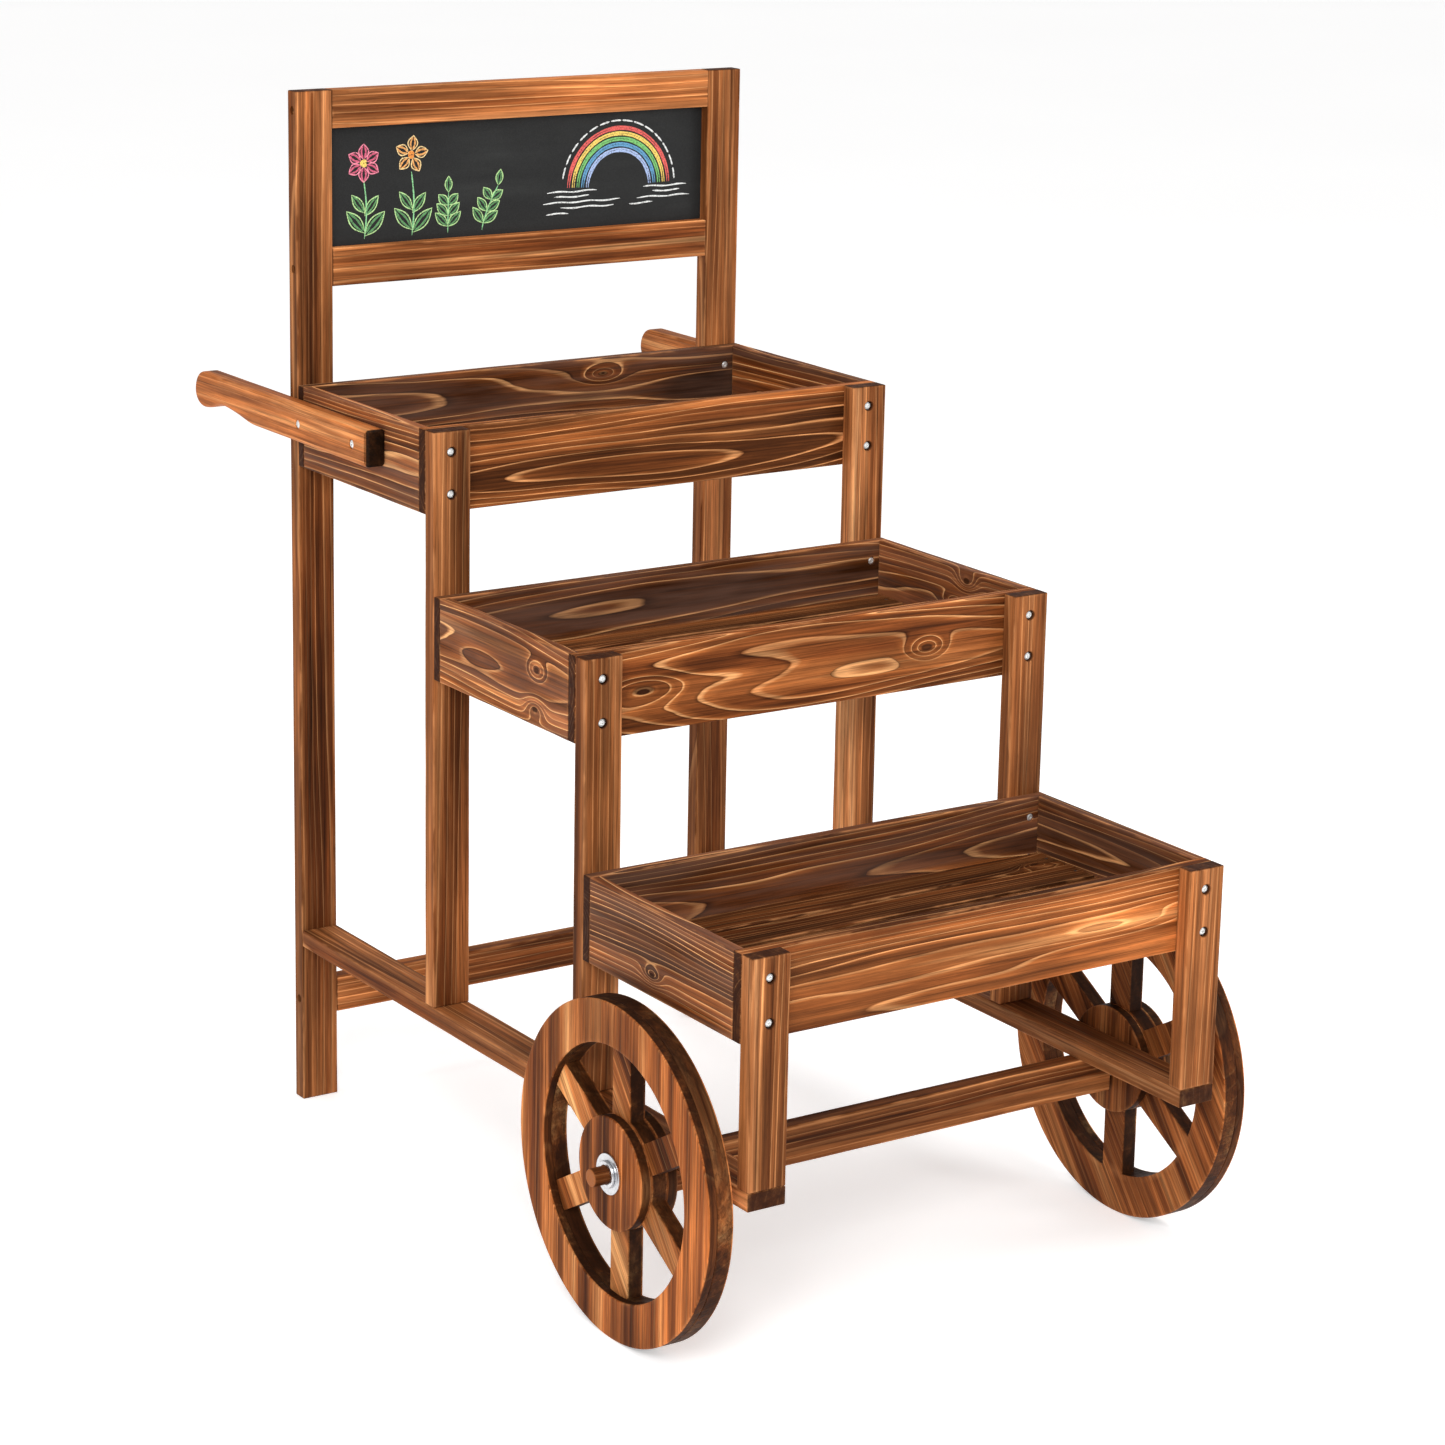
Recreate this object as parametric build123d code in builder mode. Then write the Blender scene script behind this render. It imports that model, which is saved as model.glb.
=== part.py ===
from build123d import *
import os

# A two-wheeled wooden cart with three stepped planter boxes and a chalkboard.
# Millimetres. X runs across the cart, -Y is its front, +Z is up, and the ground is z = 0.
# The origin is on the ground at the middle of the whole cart.

# ---- driving dimensions -------------------------------------------------------------------

cart_width = 550  # across the posts, rails and boxes
post_height = 1100  # back posts, ground to top
post_width = 42  # upright and side rail stock, wide face
stock_thick = 18  # upright and rail stock, narrow face
rail_height = 40  # cross members standing on edge
board_thick = 12  # box boards

tiers = ["upper", "middle", "lower"]  # from the back to the front
box_depth = 270  # front to back over the box boards
box_height = 86
box_tops = {"upper": 794, "middle": 628, "lower": 418}
side_rail_top = 194
cross_rail_top = 134

chalk_opening = 125  # height of the writing surface
panel_thick = 4
panel_setback = 13  # from the posts' front face to the panel
rebate_width = 6
panel_play = 0.5

slat_count = 5
slat_gap = 6
slat_thick = 10
cleat_width = 16
cleat_height = 18

handle_thick = 22
handle_height = 39
handle_middle = 761.5  # height of the handle's centre line
handle_reach = 200  # behind the posts' front face
handle_lap = 190  # in front of it, along the upper box

wheel_diameter = 332
rim_width = 42
spoke_count = 6
spoke_width = 30
spoked_panel_thick = 17
face_ring_thick = 10
hub_diameter = 110
hub_disc_thick = 12
wheel_gap = 3  # from the rail's side to the inner hub disc
wheel_setback = 165  # from the rails' front ends to the axle

axle_diameter = 18
axle_end = 65  # how far the axle stands out from the side of the cart
tenon_diameter = 10
tenon_length = 25
washer_diameter = 40
washer_thick = 2
inner_washer_diameter = 34
inner_washer_thick = 2
ring_diameter = 27
ring_thick = 3

running_clearance = 0.08  # radial, between the axles and what turns on them
washer_play = 0.3  # along the axle, beside each turning face
fastener_clearance = 0.1  # radial, between a shank and its hole
seat_gap = 0.02  # between a washer and the ring behind it

# A fastener's head top lies at "sink" below the face that it enters.
screw_head_side = 2.4
post_screw = {"shank": 1.9, "head": 3.75, "bore": 4.75, "sink": 2.5, "length": 26}
board_screw = {"shank": 1.9, "head": 3.75, "bore": 3.95, "sink": 0.3, "length": 26}
handle_screw = {"shank": 2.2, "head": 4.25, "bore": 4.75, "sink": 0.5, "length": 32}
frame_screw = {"shank": 2.2, "head": 4.0, "bore": 4.4, "sink": 12, "length": 55}
rail_screw = {"shank": 1.9, "head": 3.75, "bore": 4.5, "sink": 1, "length": 45}
beam_screw = {"shank": 1.9, "head": 3.75, "bore": 4.5, "sink": 20, "length": 34}
nail = {"shank": 0.9, "head": 1.8, "bore": 1.9, "sink": 0.1, "length": 30}
slat_nail = {"shank": 0.9, "head": 1.8, "bore": 1.9, "sink": 0.1, "length": 22}
tack = {"shank": 0.7, "head": 1.6, "bore": 1.7, "sink": 0.1, "length": 9}
nail_head_side = 0.8
screw_spread = 0.25  # share of a box's height, from its top and from its bottom edge
nail_edge = 14  # from a box's top and bottom edges to the outer nails
handle_screw_places = [-40, -157]  # along the handle, from the posts' front face
rail_screw_spread = 9  # each side of the rail's middle
beam_screw_inset = 8  # from the rail's inner edge

# ---- derived places -----------------------------------------------------------------------

half_width = cart_width / 2
tier_pitch = box_depth + stock_thick
deck_length = len(tiers) * tier_pitch
post_face = (deck_length - handle_reach) / 2  # y of the back posts' front face
front_end = post_face - deck_length
post_x = half_width - post_width / 2
inner_x = half_width - post_width
side_rail_bottom = side_rail_top - stock_thick
beam_top = side_rail_bottom
beam_bottom = beam_top - rail_height
axle_y = front_end + wheel_setback
wheel_radius = wheel_diameter / 2
beam_front = axle_y - stock_thick / 2

opening_top = post_height - rail_height
opening_bottom = opening_top - chalk_opening
panel_front = post_face + panel_setback
panel_half = inner_x + rebate_width - panel_play
panel_reach = rebate_width - panel_play

inner_hub_x = half_width + wheel_gap
spoked_panel_x = inner_hub_x + hub_disc_thick
face_ring_x = spoked_panel_x + spoked_panel_thick
outer_hub_x = face_ring_x
washer_x = outer_hub_x + hub_disc_thick + washer_play
ring_x = washer_x + washer_thick + seat_gap
inner_washer_x = half_width + (wheel_gap - inner_washer_thick) / 2


def tier_back(tier):
    return post_face - tiers.index(tier) * tier_pitch


def tier_front(tier):
    return tier_back(tier) - box_depth


def tier_bottom(tier):
    return box_tops[tier] - box_height


sides = {"left": -1, "right": 1}
out_front = (0, -1, 0)
out_back = (0, 1, 0)
out_up = (0, 0, 1)
out_down = (0, 0, -1)


def out_side(sign):
    return (sign, 0, 0)


def seat(x, y, z, outward):
    return Plane(origin=(x, y, z), z_dir=outward)


# ---- seats of the fasteners: where each one enters, with the face's outward direction ------

screw_levels = [box_height * screw_spread, box_height * (1 - screw_spread)]
nail_levels = [nail_edge, box_height / 2, box_height - nail_edge]
nail_x = half_width - board_thick / 2
frame_levels = {
    "board_top_rail": post_height - rail_height / 2,
    "board_lower_rail": opening_bottom - rail_height / 2,
    "back_cross_rail": cross_rail_top - rail_height / 2,
}


def post_seats(tier, sign):
    face = tier_front(tier) - stock_thick
    return [seat(sign * post_x, face, box_tops[tier] - level, out_front) for level in screw_levels]


def back_seats(tier, sign):
    face = tier_back(tier) - board_thick
    return [seat(sign * post_x, face, box_tops[tier] - level, out_front) for level in screw_levels]


def both(seats, *arguments):
    """The seats on the left and on the right side, in one list."""
    places = [seats(*arguments, sign) for sign in sides.values()]
    return [place for group in places for place in (group if isinstance(group, list) else [group])]


def handle_seats(sign):
    x = sign * (half_width + handle_thick)
    return [seat(x, post_face + y, handle_middle, out_side(sign)) for y in handle_screw_places]


def frame_seat(rail, sign):
    return seat(sign * half_width, post_face + stock_thick / 2, frame_levels[rail], out_side(sign))


def frame_seats(sign):
    return [frame_seat(rail, sign) for rail in frame_levels]


def rail_end_seats(sign):
    y = post_face + stock_thick
    z = side_rail_top - stock_thick / 2
    offsets = (-rail_screw_spread, rail_screw_spread)
    return [seat(sign * post_x + x, y, z, out_back) for x in offsets]


def rail_post_seat(tier, sign):
    return seat(sign * post_x, tier_front(tier) - stock_thick / 2, side_rail_bottom, out_down)


def rail_post_seats(sign):
    return [rail_post_seat(tier, sign) for tier in tiers]


def beam_seats(sign):
    return [seat(sign * (inner_x + beam_screw_inset), axle_y, beam_bottom, out_down)]


def front_nail_seats(tier, sign):
    y = tier_front(tier)
    return [seat(sign * nail_x, y, tier_bottom(tier) + z, out_front) for z in nail_levels]


def back_nail_seats(tier, sign):
    y = tier_back(tier)
    return [seat(sign * nail_x, y, tier_bottom(tier) + z, out_back) for z in nail_levels]


slat_bottom = cleat_height
slat_span = box_depth - 2 * board_thick
slat_width = (slat_span - (slat_count + 1) * slat_gap) / slat_count
slat_pitch = slat_width + slat_gap
cleat_x = half_width - board_thick - cleat_width / 2


def slat_y(tier, number):
    return tier_back(tier) - board_thick - slat_gap - slat_width / 2 - number * slat_pitch


def slat_nail_seats(tier, sign):
    z = tier_bottom(tier) + slat_bottom + slat_thick
    return [seat(sign * cleat_x, slat_y(tier, n), z, out_up) for n in range(slat_count)]


tack_edge = rebate_width / 2
tack_columns = [-0.7 * inner_x, 0, 0.7 * inner_x]
tack_back = panel_front + panel_thick
opening_middle = (opening_top + opening_bottom) / 2
top_tack_seats = [seat(x, tack_back, opening_top + tack_edge, out_back) for x in tack_columns]
low_tack_seats = [seat(x, tack_back, opening_bottom - tack_edge, out_back) for x in tack_columns]
side_tack_x = inner_x + tack_edge
side_tack_seats = [seat(s * side_tack_x, tack_back, opening_middle, out_back) for s in (-1, 1)]


# ---- shared shapes ------------------------------------------------------------------------


def block(low, high):
    """Add a square-edged block between two corners to the part being built."""
    size = [b - a for a, b in zip(low, high)]
    centre = [(a + b) / 2 for a, b in zip(low, high)]
    with Locations(Location(centre)):
        Box(*size)


def cut_block(low, high):
    size = [b - a for a, b in zip(low, high)]
    centre = [(a + b) / 2 for a, b in zip(low, high)]
    with Locations(Location(centre)):
        Box(*size, mode=Mode.SUBTRACT)


def hole_depth(screw):
    return screw["sink"] + screw["length"] + fastener_clearance


def bore_heads(seats, screw, head_side=screw_head_side):
    """Cut each head's counterbore and its shank hole."""
    with Locations(*seats):
        CounterBoreHole(
            radius=screw["shank"] + fastener_clearance,
            counter_bore_radius=screw["bore"],
            counter_bore_depth=screw["sink"] + head_side + fastener_clearance,
            depth=hole_depth(screw),
        )


def bore_shanks(seats, screw):
    """Cut the shank holes in a piece that lies behind the one holding the heads."""
    with Locations(*seats):
        Hole(radius=screw["shank"] + fastener_clearance, depth=hole_depth(screw))


def cross_head_screw(screw):
    """A pan-head screw: its head's top is at z = 0 and its point reaches down to -length."""
    shank = screw["shank"]
    head = screw["head"]
    length = screw["length"]
    slot_width = 0.3 * head
    slot_depth = 0.5 * screw_head_side
    with BuildPart() as piece:
        with BuildSketch(Plane.XZ):
            with BuildLine():
                Polyline(
                    (0, 0),
                    (0.6 * head, 0),
                    (head, -0.35 * screw_head_side),
                    (head, -screw_head_side),
                    (shank, -screw_head_side),
                    (shank, -length + 2 * shank),
                    (0, -length),
                    close=True,
                )
            make_face()
        revolve(axis=Axis.Z)
        with Locations(Location((0, 0, -slot_depth / 2))):
            Box(head, slot_width, slot_depth, mode=Mode.SUBTRACT)
            Box(slot_width, head, slot_depth, mode=Mode.SUBTRACT)
    return piece.part


def round_nail(fixing):
    """A flat-headed nail: its head's top is at z = 0 and its point reaches down to -length."""
    shank = fixing["shank"]
    head = fixing["head"]
    length = fixing["length"]
    with BuildPart() as piece:
        with BuildSketch(Plane.XZ):
            with BuildLine():
                Polyline(
                    (0, 0),
                    (head, 0),
                    (head, -nail_head_side),
                    (shank, -nail_head_side),
                    (shank, -length + 3 * shank),
                    (0, -length),
                    close=True,
                )
            make_face()
        revolve(axis=Axis.Z)
    return piece.part


def finish(piece, name):
    piece.part.label = name
    export_step(piece.part, f"parts/{name}.step")


def fasteners(name, shape, seats, fixing):
    """One group of identical fasteners, each sunk in its own seat."""
    with BuildPart() as group:
        with Locations(*[place.offset(-fixing["sink"]) for place in seats]):
            add(shape)
    finish(group, name)


os.makedirs("parts", exist_ok=True)

# ---- back frame ---------------------------------------------------------------------------

for side, sign in sides.items():
    outer = sign * half_width
    inner = sign * inner_x
    with BuildPart() as back_post:
        block(
            (min(outer, inner), post_face, 0),
            (max(outer, inner), post_face + stock_thick, post_height),
        )
        rebate = sign * (inner_x + rebate_width)
        cut_block(
            (min(inner, rebate), panel_front, opening_bottom - rebate_width),
            (max(inner, rebate), post_face + stock_thick, opening_top + rebate_width),
        )
        bore_heads(frame_seats(sign), frame_screw)
        bore_heads(rail_end_seats(sign), rail_screw)
        bore_shanks(back_seats("upper", sign), board_screw)
        bore_shanks([side_tack_seats[0 if sign < 0 else 1]], tack)
    finish(back_post, f"back_post_{side}")

with BuildPart() as board_top_rail:
    block(
        (-inner_x, post_face, opening_top),
        (inner_x, post_face + stock_thick, post_height),
    )
    cut_block(
        (-inner_x, panel_front, opening_top),
        (inner_x, post_face + stock_thick, opening_top + rebate_width),
    )
    bore_shanks(both(frame_seat, "board_top_rail"), frame_screw)
    bore_shanks(top_tack_seats, tack)
finish(board_top_rail, "board_top_rail")

with BuildPart() as board_lower_rail:
    block(
        (-inner_x, post_face, opening_bottom - rail_height),
        (inner_x, post_face + stock_thick, opening_bottom),
    )
    cut_block(
        (-inner_x, panel_front, opening_bottom - rebate_width),
        (inner_x, post_face + stock_thick, opening_bottom),
    )
    bore_shanks(both(frame_seat, "board_lower_rail"), frame_screw)
    bore_shanks(low_tack_seats, tack)
finish(board_lower_rail, "board_lower_rail")

with BuildPart() as chalkboard_panel:
    block(
        (-panel_half, panel_front, opening_bottom - panel_reach),
        (panel_half, panel_front + panel_thick, opening_top + panel_reach),
    )
    bore_heads(top_tack_seats + low_tack_seats + side_tack_seats, tack, nail_head_side)
finish(chalkboard_panel, "chalkboard_panel")

with BuildPart() as back_cross_rail:
    block(
        (-inner_x, post_face, cross_rail_top - rail_height),
        (inner_x, post_face + stock_thick, cross_rail_top),
    )
    bore_shanks(both(frame_seat, "back_cross_rail"), frame_screw)
finish(back_cross_rail, "back_cross_rail")

# ---- side rails, axle beam and axles ------------------------------------------------------

for side, sign in sides.items():
    outer = sign * half_width
    inner = sign * inner_x
    with BuildPart() as side_rail:
        block(
            (min(outer, inner), front_end, side_rail_bottom),
            (max(outer, inner), post_face, side_rail_top),
        )
        bore_heads(rail_post_seats(sign), rail_screw)
        bore_shanks(rail_end_seats(sign), rail_screw)
        bore_shanks(beam_seats(sign), beam_screw)
    finish(side_rail, f"side_rail_{side}")

with BuildPart() as axle_beam:
    block(
        (-half_width, beam_front, beam_bottom),
        (half_width, beam_front + stock_thick, beam_top),
    )
    bore_heads(both(beam_seats), beam_screw)
    with Locations(*[seat(s * half_width, axle_y, wheel_radius, out_side(s)) for s in (-1, 1)]):
        Hole(radius=tenon_diameter / 2 + fastener_clearance, depth=tenon_length + fastener_clearance)
finish(axle_beam, "axle_beam")

for side, sign in sides.items():
    shoulder = seat(sign * half_width, axle_y, wheel_radius, out_side(sign))
    with BuildPart() as stub_axle:
        with BuildSketch(shoulder):
            Circle(axle_diameter / 2)
        extrude(amount=axle_end)
        with BuildSketch(shoulder.offset(-tenon_length)):
            Circle(tenon_diameter / 2)
        extrude(amount=tenon_length)
    finish(stub_axle, f"stub_axle_{side}")

# ---- planter boxes and their front posts ----------------------------------------------------

for tier in tiers:
    back = tier_back(tier)
    front = tier_front(tier)
    top = box_tops[tier]
    bottom = tier_bottom(tier)

    with BuildPart() as back_board:
        block((-half_width, back - board_thick, bottom), (half_width, back, top))
        bore_heads(both(back_seats, tier), board_screw)
        bore_heads(both(back_nail_seats, tier), nail, nail_head_side)
    finish(back_board, f"{tier}_back_board")

    with BuildPart() as front_board:
        block((-half_width, front, bottom), (half_width, front + board_thick, top))
        bore_shanks(both(post_seats, tier), post_screw)
        bore_heads(both(front_nail_seats, tier), nail, nail_head_side)
    finish(front_board, f"{tier}_front_board")

    for side, sign in sides.items():
        outer = sign * half_width
        face = sign * (half_width - board_thick)
        with BuildPart() as side_board:
            block(
                (min(outer, face), front + board_thick, bottom),
                (max(outer, face), back - board_thick, top),
            )
            bore_shanks(front_nail_seats(tier, sign) + back_nail_seats(tier, sign), nail)
            if tier == "upper":
                bore_shanks(handle_seats(sign), handle_screw)
        finish(side_board, f"{tier}_side_board_{side}")

    with BuildPart() as floor_cleats:
        for sign in sides.values():
            near = sign * (half_width - board_thick)
            far = sign * (half_width - board_thick - cleat_width)
            block(
                (min(near, far), front + board_thick, bottom),
                (max(near, far), back - board_thick, bottom + cleat_height),
            )
        bore_shanks(both(slat_nail_seats, tier), slat_nail)
    finish(floor_cleats, f"{tier}_floor_cleats")

    with BuildPart() as floor_slats:
        reach = half_width - board_thick
        for number in range(slat_count):
            middle = slat_y(tier, number)
            block(
                (-reach, middle - slat_width / 2, bottom + slat_bottom),
                (reach, middle + slat_width / 2, bottom + slat_bottom + slat_thick),
            )
        bore_heads(both(slat_nail_seats, tier), slat_nail, nail_head_side)
    finish(floor_slats, f"{tier}_floor_slats")

    for side, sign in sides.items():
        outer = sign * half_width
        inner = sign * inner_x
        with BuildPart() as front_post:
            block(
                (min(outer, inner), front - stock_thick, side_rail_top),
                (max(outer, inner), front, top),
            )
            bore_heads(post_seats(tier, sign), post_screw)
            bore_shanks([rail_post_seat(tier, sign)], rail_screw)
            if tier != tiers[-1]:
                next_tier = tiers[tiers.index(tier) + 1]
                bore_shanks(back_seats(next_tier, sign), board_screw)
        finish(front_post, f"{tier}_front_post_{side}")

# ---- handles --------------------------------------------------------------------------------
# The outline is drawn in a plane of Y and Z: a straight bar with square front corners, a round
# knob at its back end, and a shallow finger hollow under the grip.

handle_bottom = handle_middle - handle_height / 2
handle_top = handle_middle + handle_height / 2
knob_round = 20  # upper corner of the knob
knob_under = (0.1 * handle_reach, 0)  # lowest point of the knob, in from the end and up
hollow_points = [(0.18 * handle_reach, 2), (0.31 * handle_reach, 8.5), (0.48 * handle_reach, 6)]
hollow_start = 0.7 * handle_reach  # where the underside is straight again, in from the end
knob_widest = 17  # height of the knob's furthest point above the underside

for side, sign in sides.items():
    end = post_face + handle_reach
    outline_plane = Plane(
        origin=(sign * half_width, 0, 0),
        x_dir=(0, sign, 0),
        z_dir=(sign, 0, 0),
    )

    def at(inward, up):
        return (sign * (end - inward), handle_bottom + up)

    with BuildPart() as handle:
        with BuildSketch(outline_plane):
            with BuildLine():
                Polyline(
                    at(hollow_start, 0),
                    at(handle_reach + handle_lap, 0),
                    at(handle_reach + handle_lap, handle_height),
                    at(knob_round, handle_height),
                )
                Spline(
                    at(knob_round, handle_height),
                    at(0, knob_widest),
                    tangents=[(sign, 0), (0, -1)],
                )
                Spline(
                    at(0, knob_widest),
                    at(*knob_under),
                    *[at(*point) for point in hollow_points],
                    at(hollow_start, 0),
                    tangents=[(0, -1), (-sign, 0)],
                )
            make_face()
        extrude(amount=handle_thick)
        bore_heads(handle_seats(sign), handle_screw)
    finish(handle, f"handle_{side}")

# ---- wheels ---------------------------------------------------------------------------------


rim_inner = wheel_diameter - 2 * rim_width
bore_diameter = axle_diameter + 2 * running_clearance

for side, sign in sides.items():
    outward = out_side(sign)

    def wheel_plane(x):
        return Plane(origin=(sign * x, axle_y, wheel_radius), x_dir=(0, 1, 0), z_dir=outward)

    with BuildPart() as spoked_panel:
        with BuildSketch(wheel_plane(spoked_panel_x)):
            Circle(wheel_diameter / 2)
            Circle(rim_inner / 2, mode=Mode.SUBTRACT)
            with PolarLocations(0, spoke_count, start_angle=90):
                Rectangle(
                    rim_inner / 2 + rim_width / 4,
                    spoke_width,
                    align=(Align.MIN, Align.CENTER),
                )
            Circle(hub_diameter / 2)
            Circle(bore_diameter / 2, mode=Mode.SUBTRACT)
        extrude(amount=spoked_panel_thick)
    finish(spoked_panel, f"wheel_{side}_spoked_panel")

    with BuildPart() as face_ring:
        with BuildSketch(wheel_plane(face_ring_x)):
            Circle(wheel_diameter / 2)
            Circle(rim_inner / 2, mode=Mode.SUBTRACT)
        extrude(amount=face_ring_thick)
    finish(face_ring, f"wheel_{side}_face_ring")

    for name, x in (("outer_hub", outer_hub_x), ("inner_hub", inner_hub_x)):
        with BuildPart() as hub_disc:
            with BuildSketch(wheel_plane(x)):
                Circle(hub_diameter / 2)
                Circle(bore_diameter / 2, mode=Mode.SUBTRACT)
            extrude(amount=hub_disc_thick)
        finish(hub_disc, f"wheel_{side}_{name}")


def axle_rings(name, x, outer, thick):
    """One flat ring on each axle, as far out as x."""
    with BuildPart() as rings:
        for sign in sides.values():
            plane = Plane(origin=(sign * x, axle_y, wheel_radius), z_dir=out_side(sign))
            with BuildSketch(plane):
                Circle(outer / 2)
                Circle(bore_diameter / 2, mode=Mode.SUBTRACT)
            extrude(amount=thick)
    finish(rings, name)


axle_rings("outer_washers", washer_x, washer_diameter, washer_thick)
axle_rings("inner_washers", inner_washer_x, inner_washer_diameter, inner_washer_thick)
axle_rings("retaining_rings", ring_x, ring_diameter, ring_thick)

# ---- fasteners ------------------------------------------------------------------------------

all_tiers = [(tier, sign) for tier in tiers for sign in sides.values()]
post_places = [place for tier, sign in all_tiers for place in post_seats(tier, sign)]
back_places = [place for tier, sign in all_tiers for place in back_seats(tier, sign)]
box_nail_places = [
    place
    for tier, sign in all_tiers
    for place in front_nail_seats(tier, sign) + back_nail_seats(tier, sign)
]
slat_nail_places = [place for tier, sign in all_tiers for place in slat_nail_seats(tier, sign)]
tack_places = top_tack_seats + low_tack_seats + side_tack_seats

fasteners("front_post_screws", cross_head_screw(post_screw), post_places, post_screw)
fasteners("back_board_screws", cross_head_screw(board_screw), back_places, board_screw)
fasteners("handle_screws", cross_head_screw(handle_screw), both(handle_seats), handle_screw)
fasteners("frame_screws", cross_head_screw(frame_screw), both(frame_seats), frame_screw)
fasteners("rail_end_screws", cross_head_screw(rail_screw), both(rail_end_seats), rail_screw)
fasteners("rail_post_screws", cross_head_screw(rail_screw), both(rail_post_seats), rail_screw)
fasteners("beam_screws", cross_head_screw(beam_screw), both(beam_seats), beam_screw)
fasteners("box_nails", round_nail(nail), box_nail_places, nail)
fasteners("slat_nails", round_nail(slat_nail), slat_nail_places, slat_nail)
fasteners("panel_tacks", round_nail(tack), tack_places, tack)
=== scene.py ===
import math
import bpy
import numpy as np
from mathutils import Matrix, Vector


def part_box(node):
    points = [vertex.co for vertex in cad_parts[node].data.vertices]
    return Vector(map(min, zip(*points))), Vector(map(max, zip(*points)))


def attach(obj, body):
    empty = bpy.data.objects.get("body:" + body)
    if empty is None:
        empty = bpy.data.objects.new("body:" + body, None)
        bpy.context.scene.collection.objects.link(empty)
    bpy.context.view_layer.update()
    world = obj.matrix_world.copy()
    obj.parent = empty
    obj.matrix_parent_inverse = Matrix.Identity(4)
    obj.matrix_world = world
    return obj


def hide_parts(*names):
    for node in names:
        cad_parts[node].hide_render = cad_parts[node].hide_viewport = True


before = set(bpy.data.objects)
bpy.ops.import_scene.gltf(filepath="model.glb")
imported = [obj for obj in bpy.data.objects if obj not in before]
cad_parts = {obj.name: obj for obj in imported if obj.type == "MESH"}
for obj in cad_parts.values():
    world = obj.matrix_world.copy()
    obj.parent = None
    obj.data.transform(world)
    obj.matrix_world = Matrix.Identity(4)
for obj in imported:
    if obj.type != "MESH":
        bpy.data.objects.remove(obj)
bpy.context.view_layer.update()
print("frame loaded:", len(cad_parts), "nodes")

scene = bpy.context.scene
mm = 0.001
fullTurn = 2 * math.pi
quarterTurn = math.pi / 2

# the camera looks down on the cart from its front left; the angles are in degrees
view = {
    "place": (-2.137488, -3.252011, 1.554145),
    "turn": -33.834,  # about the vertical
    "tip": -14.047,  # below the horizon
    "roll": 1.087,
    "lens": 97.2,
    "shiftY": -0.071,
    "sensor": 36.0,
    "farthest": 200.0,
}


def placeCamera(look):
    turn, tip, roll = (math.radians(look[key]) for key in ("turn", "tip", "roll"))
    ahead = np.array([math.sin(-turn) * math.cos(tip), math.cos(turn) * math.cos(tip), math.sin(tip)])
    level = np.array([math.cos(turn), math.sin(turn), 0.0])
    lifted = np.cross(level, ahead)
    right = level * math.cos(roll) + lifted * math.sin(roll)
    up = lifted * math.cos(roll) - level * math.sin(roll)
    data = bpy.data.cameras.new("camera")
    data.lens = look["lens"]
    data.sensor_width = look["sensor"]
    data.shift_y = look["shiftY"]
    data.clip_end = look["farthest"]
    camera = bpy.data.objects.new("camera", data)
    scene.collection.objects.link(camera)
    axes = np.identity(4)
    axes[:3, 0], axes[:3, 1], axes[:3, 2], axes[:3, 3] = right, up, -ahead, look["place"]
    camera.matrix_world = [list(row) for row in axes.T]
    scene.camera = camera


placeCamera(view)

studio = {
    "sky": 0.62,  # how strongly the white backdrop lights the cart
    "floorGlow": 0.38,
    "floorSize": 60.0,
    "aim": (0.0, 0.0, 0.5),
    "lamps": {
        "keyLight": {"place": (-2.6, -3.0, 2.7), "size": 1.8, "power": 105.0},
        "sideLight": {"place": (2.8, -2.2, 1.6), "size": 1.6, "power": 28.0},
        "topLight": {"place": (0.2, -0.4, 4.2), "size": 3.0, "power": 60.0},
    },
}


def areaLight(name, look, target):
    data = bpy.data.lights.new(name, "AREA")
    data.shape = "DISK"
    data.size = look["size"]
    data.energy = look["power"]
    lamp = bpy.data.objects.new(name, data)
    scene.collection.objects.link(lamp)
    place = np.array(look["place"])
    lamp.location = place
    away = place - np.array(target)
    tilt = math.acos(away[2] / np.linalg.norm(away))
    lamp.rotation_euler = (tilt, 0.0, math.atan2(away[1], away[0]) + quarterTurn)


def lightWorld(strength):
    # the backdrop is white to the camera, and lights the cart with the given strength
    world = bpy.data.worlds.new("studioWorld")
    scene.world = world
    world.use_nodes = True
    nodes, links = world.node_tree.nodes, world.node_tree.links
    sky = nodes["Background"]
    sky.inputs["Color"].default_value = (1.0, 1.0, 1.0, 1.0)
    level = nodes.new("ShaderNodeMath")
    level.operation = "MULTIPLY_ADD"
    links.new(nodes.new("ShaderNodeLightPath").outputs["Is Camera Ray"], level.inputs[0])
    level.inputs[1].default_value = 1.0 - strength
    level.inputs[2].default_value = strength
    links.new(level.outputs[0], sky.inputs["Strength"])


for lampName, lampLook in studio["lamps"].items():
    areaLight(lampName, lampLook, studio["aim"])
lightWorld(studio["sky"])
scene.view_settings.view_transform = "Standard"
print("camera and light ready")


def addNode(tree, kind, inputs=None, **settings):
    # inputs holds a socket to link or a value to set, by the socket's name or number
    made = tree.nodes.new(kind)
    for key, value in settings.items():
        setattr(made, key, value)
    for key, value in (inputs or {}).items():
        socket = made.inputs[key]
        if isinstance(value, bpy.types.NodeSocket):
            tree.links.new(value, socket)
        else:
            socket.default_value = value
    return made


def calc(tree, operation, first, second=0.0, third=None, clamp=False):
    inputs = {0: first, 1: second}
    if third is not None:
        inputs[2] = third
    return addNode(tree, "ShaderNodeMath", inputs, operation=operation, use_clamp=clamp).outputs[0]


def times(tree, first, *others):
    for other in others:
        first = calc(tree, "MULTIPLY", first, other)
    return first


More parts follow.
